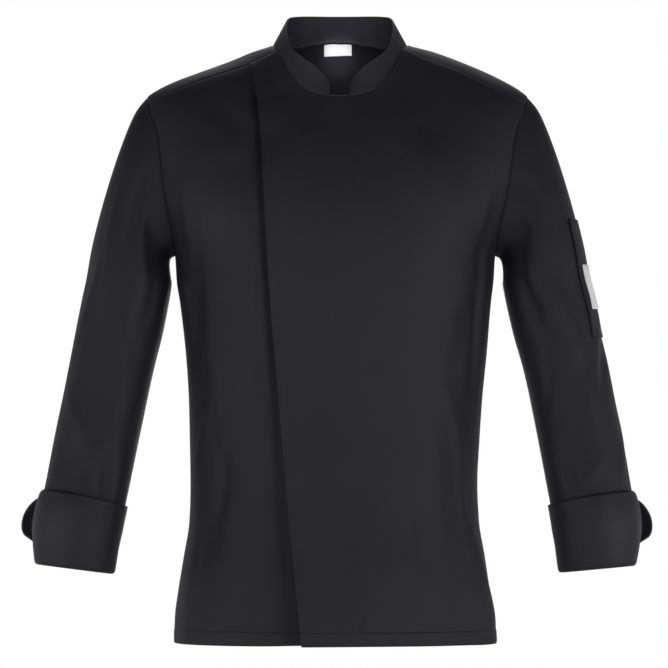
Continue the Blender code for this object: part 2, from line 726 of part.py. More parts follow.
def sleeve_frame(height, side):
    """Centre, axis and outward direction of a sleeve ring."""
    column = 2 if side > 0 else 1

    def centre(at):
        return np.array((side * smooth(SLEEVE, column, at), -smooth(SLEEVE, 3, at), at))

    axis = centre(height - 40.0) - centre(height + 40.0)
    axis = axis / np.linalg.norm(axis)
    outward = np.cross(np.array((0.0, 1.0, 0.0)), axis)
    outward = outward * side / np.linalg.norm(outward)
    if outward[0] * side < 0.0:
        outward = -outward
    forward = np.cross(axis, outward)
    forward = forward if forward[1] < 0.0 else -forward
    return centre(height), axis, outward, forward


def sleeve_ring(turn, height, side, offset=0.0):
    """Point of a sleeve ring at a turn from the outer side to the front."""
    centre, _, outward, forward = sleeve_frame(height, side)
    half_width = smooth(SLEEVE, 4, height)
    half_depth = smooth(SLEEVE, 5, height)
    turned = math.radians(turn)
    folds = SLEEVE_FOLDS["left" if side > 0 else "right"]
    offset = offset + fold_out(folds, turned, height, 60.0)
    across = power_of(math.cos(turned), 2.0 / SLEEVE_POWER)
    along = power_of(math.sin(turned), 2.0 / SLEEVE_POWER)
    point = centre + outward * half_width * across + forward * half_depth * along
    normal = outward * across / half_width + forward * along / half_depth
    return point + normal / np.linalg.norm(normal) * offset


def cap_point(turn, end_turn, part, side):
    """Point of the sleeve cap between the armhole and the first full ring."""
    signed = (turn + 180.0) % 360.0 - 180.0
    angle, height = armhole(signed, side)
    start = skin(angle, height)
    end = sleeve_ring(end_turn, SLEEVE[0][0], side)
    slope = math.radians(CAP_SLOPE) * (1.0 + math.cos(math.radians(turn))) / 2.0
    leave = np.array((side * math.cos(slope), 0.0, -math.sin(slope)))
    arrive = sleeve_frame(SLEEVE[0][0], side)[1]
    reach = smooth(((0.0, CAP_REACH[0]), (90.0, CAP_REACH[1]), (180.0, CAP_REACH[2])),
                   1, abs(signed))
    under = UNDER_REACH * (1.0 + math.cos(math.radians(turn))) / 2.0 + 12.0
    first = start + leave * reach
    second = end - arrive * under
    rest = 1.0 - part
    return (rest ** 3 * start + 3 * rest ** 2 * part * first
            + 3 * rest * part ** 2 * second + part ** 3 * end)


def sleeve_grid(side):
    """Outer points of a sleeve, armhole to end."""
    turns = sleeve_turns()
    even = sleeve_turns(1.0)
    rows = [[cap_point(turn, end, k / CAP_ROWS, side) for turn, end in zip(turns, even)]
            for k in range(CAP_ROWS + 1)]
    for height in SLEEVE_RINGS:
        rows.append([sleeve_ring(turn, height, side) for turn in even])
    return np.array(rows)


def build_sleeve(side, look):
    """A sleeve, set on its armhole."""
    name = "left_sleeve" if side > 0 else "right_sleeve"
    outer = sleeve_grid(side)
    normals = grid_normals(outer, closed=True)
    if np.sum(normals[-1] * (outer[-1] - outer[-1].mean(axis=0))) < 0.0:
        normals = -normals
    for k, turn in enumerate(sleeve_turns()):
        angle, height = armhole((turn + 180.0) % 360.0 - 180.0, side)
        normals[0, k] = form_normal(angle, height)
    drawn = outer.copy()
    opening = outer[0].mean(axis=0) - outer[0]
    opening -= np.sum(opening * normals[0], axis=-1, keepdims=True) * normals[0]
    drawn[0] += opening / np.linalg.norm(opening, axis=-1, keepdims=True) * SEAM_GAP * 1.3
    inner = drawn - normals * CLOTH
    wall(name, drawn, inner, look, closed=True)
    return outer, normals


def build_cuff(side, look):
    """A turned-back cuff round the sleeve end, open at its vent."""
    name = "left_cuff" if side > 0 else "right_cuff"
    start = CUFF_VENT + CUFF_SLIT / 2.0
    stop = CUFF_VENT - CUFF_SLIT / 2.0 + 360.0
    turns = [start, start + 7.0, start + 16.0]
    turns += list(np.linspace(start + 28.0, stop - 44.0, 20))
    turns += [stop - 32.0, stop - 22.0, stop - 13.0, stop - 5.0, stop]
    (rear_drop, rear_reach), (front_drop, front_reach) = CUFF_CORNERS
    layers = {"in": [], "out": []}
    for up_in, out_in, up_out, out_out in CUFF:
        for layer, up, out, low in (("in", up_in, out_in, CUFF[4][1]),
                                    ("out", up_out, out_out, CUFF[4][3])):
            line = []
            for turn in turns:
                from_rear, from_front = (stop - turn) * 0.95, (turn - start) * 0.95
                snug = CUFF_SNUG + (1.0 - CUFF_SNUG) * (1.0 + math.cos(math.radians(turn))) / 2.0
                stand = low + (out - low) * snug if out > low else out
                near = 1.0 - ease(from_rear / CUFF_FLARE_REACH)
                stand += CUFF_FLARE * near * ease((up - 22.0) / 28.0)
                lower = rear_drop * max(0.0, 1.0 - from_rear / rear_reach) ** 2
                lower += front_drop * max(0.0, 1.0 - from_front / front_reach) ** 2
                rise = up - lower * ease((up - 16.0) / 60.0)
                line.append(sleeve_ring(turn, SLEEVE_END + rise, side, stand))
            layers[layer].append(line)
    wall(name, np.array(layers["out"]), np.array(layers["in"]), look)


def patch(points, normals, rows, columns, low, high):
    """Outer and inner grids of a cloth on a grid, at fractional rows and columns."""
    rows, columns = np.broadcast_arrays(rows, columns)
    outer, inner = np.zeros((*rows.shape, 3)), np.zeros((*rows.shape, 3))
    for spot in np.ndindex(*rows.shape):
        i, j = min(int(rows[spot]), len(points) - 2), int(columns[spot])
        u, v = rows[spot] - i, columns[spot] - j
        k = (j + 1) % points.shape[1]
        place = []
        for grid in (points, normals):
            near = grid[i, j] * (1.0 - v) + grid[i, k] * v
            far = grid[i + 1, j] * (1.0 - v) + grid[i + 1, k] * v
            place.append(near * (1.0 - u) + far * u)
        normal = place[1] / np.linalg.norm(place[1])
        outer[spot] = place[0] + normal * high
        inner[spot] = place[0] + normal * low
    return outer, inner


def marks_between(first, last):
    """Two fractional places and the whole ones well between them."""
    whole = range(math.ceil(first + 0.12), math.floor(last - 0.12) + 1)
    return [first] + [float(mark) for mark in whole] + [last]


def row_at(points, column, height):
    """Fractional row of a sleeve grid at a height on a fractional column."""
    j = int(column)
    share = column - j
    heights = points[:, j, 2] * (1.0 - share) + points[:, (j + 1) % points.shape[1], 2] * share
    return float(np.interp(-height, -heights, np.arange(len(heights))))


def build_on_sleeve(name, grid, top, bottom, front, rear, low, thickness, look):
    """A cloth laid on the outer side of a sleeve."""
    points, normals = grid
    turns = sleeve_turns(1.0)
    step = 360.0 / len(turns)
    columns = marks_between((rear - turns[0]) / step, (front - turns[0]) / step)
    tops = [row_at(points, column, top) for column in columns]
    bottoms = [row_at(points, column, bottom) for column in columns]
    whole = range(math.ceil(max(tops) + 0.15), math.floor(min(bottoms) - 0.15) + 1)
    rows = [tops] + [[float(row)] * len(columns) for row in whole] + [bottoms]
    outer, inner = patch(points, normals, np.array(rows), np.array(columns), low,
                         low + thickness)
    wall(name, outer, inner, look)


def build_neck_label(points, look):
    """The label sewn into the neck seam, inside the back of the yoke."""
    normals = grid_normals(points)
    middle = points.shape[1] // 2
    if normals[3, middle, 1] < 0.0:
        normals = -normals
    near = range(middle - 5, middle + 6)
    rows, columns = [], []
    for row in np.linspace(*NECK_LABEL_ROWS, 6):
        i = int(row)
        line = points[i] + (points[i + 1] - points[i]) * (row - i)
        across = NECK_LABEL_MIDDLE + np.linspace(-0.5, 0.5, 5) * NECK_LABEL_WIDTH
        columns.append(np.interp(across, line[near, 0], near))
        rows.append([row] * len(across))
    low = -CLOTH - LAY_GAP
    outer, inner = patch(points, normals, np.array(rows), np.array(columns), low, low - LABEL)
    wall("neck_label", outer, inner, look)


def build_all():
    cloth = material("jacket_cloth", (0.022, 0.021, 0.026), 0.85)
    pale = material("label_cloth", (0.75, 0.75, 0.76), 0.8)
    grid = build_fronts(cloth)
    yoke = build_yoke(grid, cloth)
    build_back(cloth)
    build_collar(grid, cloth)
    for side in (-1, 1):
        sleeve = build_sleeve(side, cloth)
        build_cuff(side, cloth)
    build_on_sleeve("sleeve_pocket", sleeve, POCKET_TOP, POCKET_BOTTOM, POCKET_FRONT,
                    POCKET_REAR, LAY_GAP, CLOTH, cloth)
    build_on_sleeve("sleeve_label", sleeve, SLEEVE_LABEL_TOP, SLEEVE_LABEL_BOTTOM,
                    SLEEVE_LABEL_FRONT, SLEEVE_LABEL_REAR, 2.0 * LAY_GAP + CLOTH, LABEL, pale)
    build_neck_label(yoke, pale)


for old in list(bpy.data.objects):
    bpy.data.objects.remove(old, do_unlink=True)
build_all()
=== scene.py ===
import math
from functools import partial

import bmesh
import bpy
import numpy as np
from mathutils import Matrix, Vector


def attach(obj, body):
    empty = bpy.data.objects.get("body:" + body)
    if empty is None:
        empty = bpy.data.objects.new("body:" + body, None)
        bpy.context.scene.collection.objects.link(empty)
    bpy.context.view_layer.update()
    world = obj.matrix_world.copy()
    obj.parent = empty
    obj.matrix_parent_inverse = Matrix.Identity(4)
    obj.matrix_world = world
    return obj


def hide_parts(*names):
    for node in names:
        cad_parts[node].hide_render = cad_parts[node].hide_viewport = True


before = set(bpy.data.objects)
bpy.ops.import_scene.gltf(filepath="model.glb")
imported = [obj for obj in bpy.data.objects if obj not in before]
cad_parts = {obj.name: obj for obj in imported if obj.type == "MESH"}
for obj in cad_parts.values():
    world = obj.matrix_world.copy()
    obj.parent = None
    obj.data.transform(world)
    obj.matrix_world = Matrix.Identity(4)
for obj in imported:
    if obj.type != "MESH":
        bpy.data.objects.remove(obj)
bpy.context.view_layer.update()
mm = 0.001
print("frame loaded:", ", ".join(sorted(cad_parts)))


# shared measures, in millimetres: X the wearer's left, Z up, the front faces -Y

cloth = {"wall": 1.6, "doubled": 2.2, "label": 0.8, "seamGap": 0.3, "layGap": 0.5,
         "allowance": 4, "creaseDepth": 1.4, "roll": 0.8, "rollReach": 0.1}

torso = {
    "sections": (  # height, half width, front, back, middle, power
        (30, 40, 16, 42, 4.5, 2), (12, 67, 24, 56, 4.5, 2), (4, 79, 28, 63, 5, 2),
        (0, 88, 31, 66, 6.5, 2), (-8, 115, 36, 71, 9.5, 2), (-20, 146, 43, 78, 11.5, 2),
        (-32, 177, 50, 84, 9.5, 2), (-45, 208, 57, 90, 5.5, 2), (-56, 229, 63, 95, 3.5, 2),
        (-66, 242, 68, 98, 2.5, 2), (-80, 249, 76, 103, 2, 2.02), (-100, 252, 86, 108, 1.5, 2.05),
        (-140, 249, 102, 115, 1, 2.1), (-190, 235, 115, 121, 0, 2.2),
        (-230, 217, 121, 123, -0.5, 2.25), (-267, 203, 123, 123, -0.5, 2.3),
        (-298, 201, 123, 122, -0.5, 2.3), (-328, 197, 122, 119, 0, 2.3),
        (-389, 191, 118, 112, 1, 2.3), (-450, 186, 115, 106, 0, 2.3),
        (-495, 184, 114, 105, -1, 2.3), (-556, 182, 115, 108, -2, 2.3),
        (-602, 183.5, 118, 114, -1.5, 2.3), (-648, 190.5, 122, 120, -1, 2.3),
        (-693, 197, 126, 125, -1, 2.3), (-724, 200.5, 128, 127, -1, 2.3),
        (-770, 201, 129, 128, -1, 2.3),
    ),
    "hemFront": -749, "hemSide": -757, "hemBack": -762,
    "radius": 160,  # a mean one, by which turns become lengths
    "planHeights": (-150, 29),  # between them the body widens all the way down
    "folds": (  # angle, height, long, wide, turn, out
        (-42, -195, 60, 26, -12, 3.5), (40, -205, 60, 26, 12, 3), (-66, -330, 70, 15, -8, -4),
        (62, -300, 80, 12, 4, -4), (-50, -450, 45, 20, 20, 2.5), (38, -560, 110, 22, -4, 2.5),
        (-40, -640, 90, 24, 6, 2.5), (8, -690, 70, 22, 0, 2.5), (150, -420, 90, 20, 8, -4),
        (-150, -430, 90, 20, -10, -4), (180, -600, 120, 24, 0, 3), (128, -250, 70, 20, -18, 3),
        (-126, -260, 70, 20, 16, 3),
    ),
    "creases": (  # the finer ones: angle, height, long, wide, turn, out
        (28, -104, 52, 24, -30, -2), (-30, -100, 36, 14, 40, -2.4), (25, -160, 60, 20, 20, 2.6),
        (-22, -135, 50, 18, -30, -2.2), (4, -225, 80, 26, 10, 1.6), (44, -345, 60, 18, -12, 2),
        (16, -455, 80, 22, 8, -1.8), (-6, -545, 70, 18, -6, 1.7), (36, -610, 60, 16, 8, -2),
        (-52, -395, 45, 15, 25, 2.4), (-60, -345, 60, 14, -10, -4), (64, -375, 60, 10, 0, -3.6),
        (-47, -560, 60, 12, -12, -2.2), (58, -560, 70, 12, 8, 2.2), (-17, -62, 16, 4, -50, -1.5),
        (-58, -240, 70, 9, -20, 1.2), (57, -230, 65, 8, 22, 1.1), (-70, -290, 45, 6, 28, -1),
        (-28, -300, 90, 16, 8, 0.9), (20, -380, 110, 18, -6, 0.9), (-60, -480, 60, 9, -30, 1.3),
        (-48, -530, 70, 10, 14, -1.1), (50, -470, 70, 10, 26, 1.2), (30, -640, 90, 12, -4, 1),
        (-62, -650, 80, 11, 3, -1.1), (-12, -600, 110, 15, 3, 0.8), (165, -300, 120, 14, 5, 1.1),
        (-168, -360, 110, 12, -6, -1), (140, -520, 80, 11, 20, 1.2),
        (-138, -540, 80, 11, -22, 1.2), (118, -400, 70, 9, -16, -1), (-120, -380, 60, 9, 18, -1),
        (150, -680, 80, 14, 2, 1.3), (-155, -690, 80, 14, -3, 1.2), (-100, -600, 80, 12, 0, 1.1),
        (100, -620, 80, 12, 0, 1.1), (110, -200, 60, 9, -24, 1.2), (-112, -210, 60, 9, 24, 1.2),
    ),
}

armhole = {"top": -66, "bottom": -267, "front": 53, "back": 60, "skew": 3,
           "yokeFront": 30, "yokeBack": 46}

neckline = {  # across and along, and steps across to the fronts' middle
    "front": ((0, -70), (22, -69), (41, -65), (55, -58), (67, -47), (75, -36), (80, -26)),
    "back": ((80, -26), (84, -13), (85.5, 0), (84, 12), (79, 24), (69, 36), (52, 47),
             (27, 54), (0, 56)),
    "middle": 5.5, "steps": (65, 47, 33, 21, 12.5),
}

yokeSeam = {
    "front": ((80, -26), (101, -30), (126, -32), (150, -32), (184, -32), (204, -31), (224, -28)),
    "turning": 113, "armMiddle": 2, "backMiddle": -88,
}

frontEdge = {
    "line": (  # height, across
        (-20, 108), (-50, 101.5), (-82, 96.5), (-156, 90.5), (-213, 87.5), (-338, 79.5),
        (-411, 73), (-484, 67), (-580, 58), (-649, 51), (-733, 42.5), (-765, 39.5),
    ),
    "lift": 7, "liftStart": -470, "liftReach": 55,
}

sideSeams = {
    "lines": (  # height, left, right
        (-267, 90, -90), (-330, 80, -90), (-411, 69, -91), (-507, 66, -92), (-580, 66, -92),
        (-640, 68, -92), (-770, 72, -92),
    ),
    "ventTop": -580, "ventLift": (6, 3), "ventReach": 60, "ventRadius": 165,
    "ventCover": 3.4, "ventLap": 11, "ventGap": 2.5, "sewnRow": 5.2,
}

lattice = {"rowsSide": 14, "rowsArm": 7, "columnsSide": 7, "columnsCorner": 2,
           "columnsArmYoke": 4, "columnsBack": 20, "planRow": 18}


def curveOf(rows, column):  # a smooth curve through a table, never beyond its points
    xs, ys = np.array(sorted((row[0], row[column]) for row in rows), float).T
    slopes = np.diff(ys) / np.diff(xs)
    low, high = slopes[:-1], slopes[1:]
    same = low * high > 0
    inner = np.where(same, 2 * low * high / np.where(same, low + high, 1), 0)
    tangents = np.r_[slopes[0], inner, slopes[-1]]

    def value(at):
        at = np.clip(np.asarray(at, float), xs[0], xs[-1])
        i = np.clip(np.searchsorted(xs, at, side="right") - 1, 0, len(xs) - 2)
        width = xs[i + 1] - xs[i]
        t = (at - xs[i]) / width
        start = (1 + 2 * t) * (1 - t) ** 2 * ys[i] + t * (1 - t) ** 2 * width * tangents[i]
        stop = t * t * (3 - 2 * t) * ys[i + 1] - t * t * (1 - t) * width * tangents[i + 1]
        return start + stop

    return value


def ease(value):
    value = np.clip(value, 0, 1)
    return value * value * (3 - 2 * value)


def signedPower(value, exponent):
    return np.sign(value) * np.abs(value) ** exponent


def unit(vectors):
    return vectors / np.maximum(np.linalg.norm(vectors, axis=-1, keepdims=True), 1e-9)


def wrapped(degrees):
    return (degrees + 180) % 360 - 180


def paired(rows, columns):
    return np.broadcast_arrays(np.asarray(rows, float), np.asarray(columns, float))


def parted(places):
    return places[..., 0], places[..., 1]


def lengthsOf(points):  # how far along its line each point lies
    return np.r_[0, np.cumsum(np.linalg.norm(np.diff(points, axis=0), axis=1))]


def pointsAt(places, lengths, points):
    return np.stack([np.interp(places, lengths, axis) for axis in points.T], axis=-1)


sectionCurves = [curveOf(torso["sections"], column) for column in range(1, 6)]
edgeAcross = curveOf(frontEdge["line"], 1)
seamCurves = {1: curveOf(sideSeams["lines"], 1), -1: curveOf(sideSeams["lines"], 2)}
neckFrontAlong = curveOf(neckline["front"], 1)
yokeFrontAlong = curveOf(yokeSeam["front"], 1)


def sectionAt(height):
    return [curve(height) for curve in sectionCurves]


def bodyForm(angle, height):
    halfWidth, front, back, middle, power = sectionAt(height)
    across = signedPower(np.sin(angle), 2 / power)
    along = signedPower(np.cos(angle), 2 / power)
    depth = np.where(along > 0, front, back)
    return np.stack((middle + halfWidth * across, -depth * along, height + 0 * across), axis=-1)


def bodyNormal(angle, height):
    around = bodyForm(angle + 0.02, height) - bodyForm(angle - 0.02, height)
    upward = bodyForm(angle, height + 2) - bodyForm(angle, height - 2)
    return unit(np.cross(around, upward))


def foldLift(folds, angle, height, radius):
    total = np.zeros(np.broadcast(angle, height).shape)
    for foldAngle, foldHeight, long, wide, turn, out in folds:
        across = np.radians(wrapped(np.degrees(angle) - foldAngle)) * radius
        upward = height - foldHeight
        turned = math.radians(turn)
        side = across * math.cos(turned) + upward * math.sin(turned)
        along = upward * math.cos(turned) - across * math.sin(turned)
        total = total + out * np.exp(-(side / wide) ** 2 - (along / long) ** 2)
    return total


def bodySkin(angle, height, offset=0, fine=True):
    angle, height = np.asarray(angle, float), np.asarray(height, float)
    lift = foldLift(torso["folds"], angle, height, torso["radius"])
    if fine:
        creases = foldLift(torso["creases"], angle, height, torso["radius"])
        lift = lift + cloth["creaseDepth"] * creases
    return bodyForm(angle, height) + bodyNormal(angle, height) * (lift + offset)[..., None]


def angleOf(x, height):
    halfWidth, _, _, middle, power = sectionAt(height)
    return np.arcsin(signedPower(np.clip((x - middle) / halfWidth, -1, 1), power / 2))


def onPlan(x, y):  # the upper body's angle and height at a place in plan
    x, y = np.asarray(x, float), np.asarray(y, float)
    low, high = [np.full(x.shape, height, float) for height in torso["planHeights"]]
    for _ in range(40):
        height = (low + high) / 2
        halfWidth, front, back, middle, power = sectionAt(height)
        depth = np.where(y < 0, front, back)
        beyond = np.abs((x - middle) / halfWidth) ** power + np.abs(y / depth) ** power > 1
        high = np.where(beyond, height, high)
        low = np.where(beyond, low, height)
    halfWidth, front, back, middle, power = sectionAt(low)
    across = signedPower((x - middle) / halfWidth, power / 2)
    along = signedPower(-y / np.where(y < 0, front, back), power / 2)
    return np.stack((np.arctan2(across, along), low), axis=-1)


def armholePlace(turn, side):  # 0 at the shoulder, 180 under the arm, the front above 0
    turn = np.asarray(turn, float)
    turned = np.radians(turn)
    top, bottom = armhole["top"], armhole["bottom"]
    height = (top + bottom) / 2 + (top - bottom) / 2 * np.cos(turned)
    reach = np.where(turn >= 0, armhole["front"], armhole["back"]) * np.abs(np.sin(turned))
    reach = reach - armhole["skew"] * np.sin(2 * np.abs(turned))
    reach = np.where(np.isin(np.abs(turn), (0, 180)), 0, reach)
    _, front, back, _, power = sectionAt(height)
    depth = np.where(turn >= 0, front, back)
    angle = np.arccos(np.minimum(reach / depth, 1) ** (power / 2))
    angle = np.where(turn < 0, math.pi - angle, angle)
    return np.stack((side * angle, height), axis=-1)


def hemHeight(angle):
    end = torso["hemFront"] if math.cos(angle) >= 0 else torso["hemBack"]
    return torso["hemSide"] + (end - torso["hemSide"]) * abs(math.cos(angle))


def seamAngle(height, side):
    return np.radians(seamCurves[side](height))


def seamBelow(side, turn=0):  # the side seam up to the armhole
    low = hemHeight(float(seamAngle(torso["hemSide"], side)))
    heights = np.linspace(low, armhole["bottom"], lattice["rowsSide"] + 1)
    return np.stack((seamAngle(heights, side) + turn, heights), axis=-1)


def alongLine(rows, count):  # even steps along a line
    points = np.array(rows, float)
    lengths = lengthsOf(points)
    return pointsAt(np.linspace(0, lengths[-1], count + 1), lengths, points)


def frontTop(side):
    junctionPlace = armholePlace(armhole["yokeFront"], side)
    junction = bodyForm(*junctionPlace)
    end = (abs(junction[0] - yokeSeam["armMiddle"]), junction[1])
    turning = (yokeSeam["turning"], float(yokeFrontAlong(yokeSeam["turning"])))
    seam = [row for row in yokeSeam["front"] if row[0] > yokeSeam["turning"]]
    corner = [row for row in yokeSeam["front"] if row[0] < yokeSeam["turning"]]
    outer = alongLine([turning] + seam + [end], lattice["columnsSide"])
    inner = alongLine(corner + [turning], lattice["columnsCorner"])
    line = np.concatenate((outer[-2::-1], inner[-2::-1]))
    share = (line[:, 0] - yokeSeam["front"][0][0]) / (end[0] - yokeSeam["front"][0][0])
    middle = neckline["middle"] + (yokeSeam["armMiddle"] - neckline["middle"]) * share
    places = onPlan(middle + side * line[:, 0], line[:, 1])
    steps = np.array(neckline["steps"])
    neck = onPlan(neckline["middle"] + side * steps, neckFrontAlong(steps))
    return np.concatenate((junctionPlace[None], places, neck))


def armholeTurns(stop):
    fine = np.linspace(180 * np.sign(stop), stop, 241)
    places = armholePlace(fine, 1)
    points = bodySkin(*parted(places), fine=False)
    lengths = lengthsOf(points)
    marks = lengths[-1] * np.arange(lattice["rowsArm"] + 1) / lattice["rowsArm"]
    return np.interp(marks, lengths, fine)


def heightOn(row, footAngle, topHeight):
    foot = hemHeight(footAngle)
    if row <= lattice["rowsSide"]:
        return foot + (armhole["bottom"] - foot) * row / lattice["rowsSide"]
    share = (row - lattice["rowsSide"]) / lattice["rowsArm"]
    return armhole["bottom"] + (topHeight - armhole["bottom"]) * share


def fillGrid(sides, top):  # a panel's angles and heights, between lines at stated columns
    rows = lattice["rowsSide"] + lattice["rowsArm"]
    grid = np.zeros((rows + 1, sides[-1][0] + 1, 2))
    for (low, lowLine), (high, highLine) in zip(sides, sides[1:]):
        for column in range(low, high + 1):
            even = (column - low) / (high - low)
            spread = (top[column][0] - top[low][0]) / (top[high][0] - top[low][0])
            footAngle = lowLine[0][0] + (highLine[0][0] - lowLine[0][0]) * even
            for row in range(rows + 1):
                up = max(row - lattice["rowsSide"], 0) / lattice["rowsArm"]
                part = even + (spread - even) * ease(up)
                angle = lowLine[row][0] + (highLine[row][0] - lowLine[row][0]) * part
                height = heightOn(row, footAngle, top[column][1])
                for edge, line in (sides[0], sides[-1]):
                    near = max(0, 1 - abs(column - edge) / 4) ** 2
                    height += near * (line[row][1] - heightOn(row, line[0][0], top[edge][1]))
                grid[row, column] = angle, height
    for column, line in sides:
        grid[:, column] = line
    return grid


def frontGrid():
    top = np.concatenate((frontTop(-1), frontTop(1)[::-1]))
    last = len(top) - 1
    turns = armholeTurns(armhole["yokeFront"])[1:]
    lines = [np.concatenate((seamBelow(side), armholePlace(turns, side))) for side in (-1, 1)]
    edges = []
    for column, side in ((lattice["columnsSide"], -1), (last - lattice["columnsSide"], 1)):
        footAngle = float(angleOf(side * frontEdge["line"][-1][1], torso["hemFront"]))
        rows = range(lattice["rowsSide"] + lattice["rowsArm"] + 1)
        heights = np.array([heightOn(row, footAngle, top[column][1]) for row in rows])
        line = np.stack((angleOf(side * edgeAcross(heights), heights), heights), axis=-1)
        line[-1] = top[column]
        edges.append((column, line))
    grid = fillGrid([(0, lines[0])] + edges + [(last, lines[1])], top)
    return grid, lattice["columnsSide"], last - lattice["columnsSide"]


def neckLine():
    half = alongLine(neckline["back"], 100)
    steps = lattice["columnsBack"] // 2  # the marks are hundredths of half the line
    marks = [0, 9, 18, 27, 37] + [round(37 + 63 * k / steps) for k in range(1, steps + 1)]
    right = onPlan(neckline["middle"] - half[marks, 0], half[marks, 1])
    left = onPlan(neckline["middle"] + half[marks, 0], half[marks, 1])
    return np.concatenate((right, left[-2::-1]))


def backSeam():
    right = armholePlace(-armhole["yokeBack"], -1)
    left = armholePlace(-armhole["yokeBack"], 1)
    part = np.arange(lattice["columnsBack"] + 1) / lattice["columnsBack"]
    angle = right[0] + (left[0] - 2 * math.pi - right[0]) * part
    height = right[1] + (yokeSeam["backMiddle"] - right[1]) * np.sin(math.pi * part)
    return np.stack((angle, height), axis=-1)


# a coarse grid is read anywhere between its points
def weighed(t, items):
    weights = (-0.5 * t + t * t - 0.5 * t ** 3, 1 - 2.5 * t * t + 1.5 * t ** 3,
               0.5 * t + 2 * t * t - 1.5 * t ** 3, -0.5 * t * t + 0.5 * t ** 3)
    return sum(weight[..., None] * item for weight, item in zip(weights, items))


def padded(grid, axis, closed):
    grid = np.moveaxis(grid, axis, 0)
    if closed:
        grid = np.concatenate((grid[-1:], grid, grid[:2]))
    else:
        grid = np.concatenate((2 * grid[:1] - grid[1:2], grid, 2 * grid[-1:] - grid[-2:-1]))
    return np.moveaxis(grid, 0, axis)


def readGrid(grid, rows, columns, closed=False, corners=((), ())):
    rows, columns = paired(rows, columns)
    around = grid.shape[1]
    if closed:
        columns = columns % around
    wide = padded(padded(grid, 0, False), 1, closed)
    i = np.clip(np.floor(rows).astype(int), 0, grid.shape[0] - 2)
    j = np.clip(np.floor(columns).astype(int), 0, around - (1 if closed else 2))
    rowLow, rowHigh, turnLow, turnHigh = [
        np.isin(at + step, stops)[..., None]
        for at, stops in zip((i, j), corners) for step in (0, 1)]
    lines = []
    for a in range(4):
        four = [wide[i + a, j + b] for b in range(4)]
        four[0] = np.where(turnLow, 2 * four[1] - four[2], four[0])
        four[3] = np.where(turnHigh, 2 * four[2] - four[1], four[3])
        lines.append(weighed(columns - j, four))
    lines[0] = np.where(rowLow, 2 * lines[1] - lines[2], lines[0])
    lines[3] = np.where(rowHigh, 2 * lines[2] - lines[1], lines[3])
    return weighed(rows - i, lines)


def marksOf(count, per, startEdge=True, extra=()):  # places to read at, closer by the edges
    near = (0.02, 0.06, 0.12)
    marks = [k / per for k in range(count * per + 1)] + [count - place for place in near]
    if startEdge:
        marks += near
    return np.array(sorted(set(round(mark, 4) for mark in marks + list(extra))))


def gridUv(points):
    both = []
    for axis in (1, 0):
        steps = np.linalg.norm(np.diff(points, axis=axis), axis=-1)
        way = np.cumsum(np.insert(steps, 0, 0, axis=axis), axis=axis)
        both.append(way - way.mean(axis=axis, keepdims=True))
    return np.stack(both, axis=-1) * mm


def objectOf(name, bm, look):
    mesh = bpy.data.meshes.new(name)
    bm.to_mesh(mesh)
    bm.free()
    mesh.materials.append(look)
    piece = bpy.data.objects.new(name, mesh)
    bpy.context.collection.objects.link(piece)
    return piece


def makeCloth(name, points, outward, thickness, look, nodes, closed=False, turned=None):
    if closed:
        points = np.concatenate((points, points[:, :1]), axis=1)
    uv = gridUv(points)
    rows, columns = points.shape[:2]
    bm = bmesh.new()
    bmesh.ops.create_grid(bm, x_segments=columns - 1, y_segments=rows - 1, size=1)
    uvLayer = bm.loops.layers.uv.new("clothUv")
    places = {}
    for vert in bm.verts:
        column = round((vert.co.x + 1) / 2 * (columns - 1))
        row = round((vert.co.y + 1) / 2 * (rows - 1))
        places[vert] = (row, column)
        vert.co = Vector(points[row, column] * mm)
    for face in bm.faces:
        for loop in face.loops:
            loop[uvLayer].uv = uv[places[loop.vert]]
    area = sum(face.calc_area() for face in bm.faces)
    bm.normal_update()
    if sum(face.normal.dot(Vector(outward(face.calc_center_median() / mm)))
           for face in bm.faces) < 0:
        bmesh.ops.reverse_faces(bm, faces=bm.faces)
        bm.normal_update()
    if turned is not None:  # seam allowance, turned to the inside along the stated borders
        border = [edge for edge in bm.edges if edge.is_boundary
                  and all(turned(*places[vert]) for vert in edge.verts)]
        normals = {vert: vert.normal.copy() for vert in bm.verts}
        made = bmesh.ops.extrude_edge_only(bm, edges=border)["geom"]
        for vert in (item for item in made if isinstance(item, bmesh.types.BMVert)):
            source = next(other for other in (edge.other_vert(vert) for edge in vert.link_edges)
                          if other in normals)
            vert.co -= normals[source] * cloth["allowance"] * mm
    if closed:
        bmesh.ops.remove_doubles(bm, verts=bm.verts, dist=1e-7)
    for face in bm.faces:
        face.smooth = True
    piece = objectOf(name, bm, look)
    wall = piece.modifiers.new("wall", "SOLIDIFY")
    wall.thickness = thickness * mm
    wall.offset = -1
    wall.use_even_offset = False
    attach(piece, "root")
    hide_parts(*nodes)
    wide, tall = uv.max(axis=(0, 1)) - uv.min(axis=(0, 1))
    print(f"{name}: {len(piece.data.polygons)} faces, {area:.4f} m2, {wide:.3f} x {tall:.3f} m")
    return piece


# one small thread mesh is copied along lines on a surface
threadFacts = {"pitch": 3, "length": 2.1, "width": 0.5, "height": 0.34, "lift": 0.1, "step": 0.03,
               "jacketThread": (0.014, 0.0132, 0.019), "labelThread": (0.7, 0.7, 0.71),
               "shades": (0.8, 1.2), "rough": 0.42, "sheen": 0.1, "fibreScale": 2400,
               "fibreStrength": 0.4}


def threadMesh():
    bm = bmesh.new()
    bmesh.ops.create_icosphere(bm, subdivisions=1, radius=0.5)
    size = Vector([threadFacts[key] * mm for key in ("length", "width", "height")])
    bmesh.ops.scale(bm, vec=size, verts=bm.verts)
    for face in bm.faces:
        face.smooth = True
    mesh = bpy.data.meshes.new("thread")
    bm.to_mesh(mesh)
    bm.free()
    return mesh


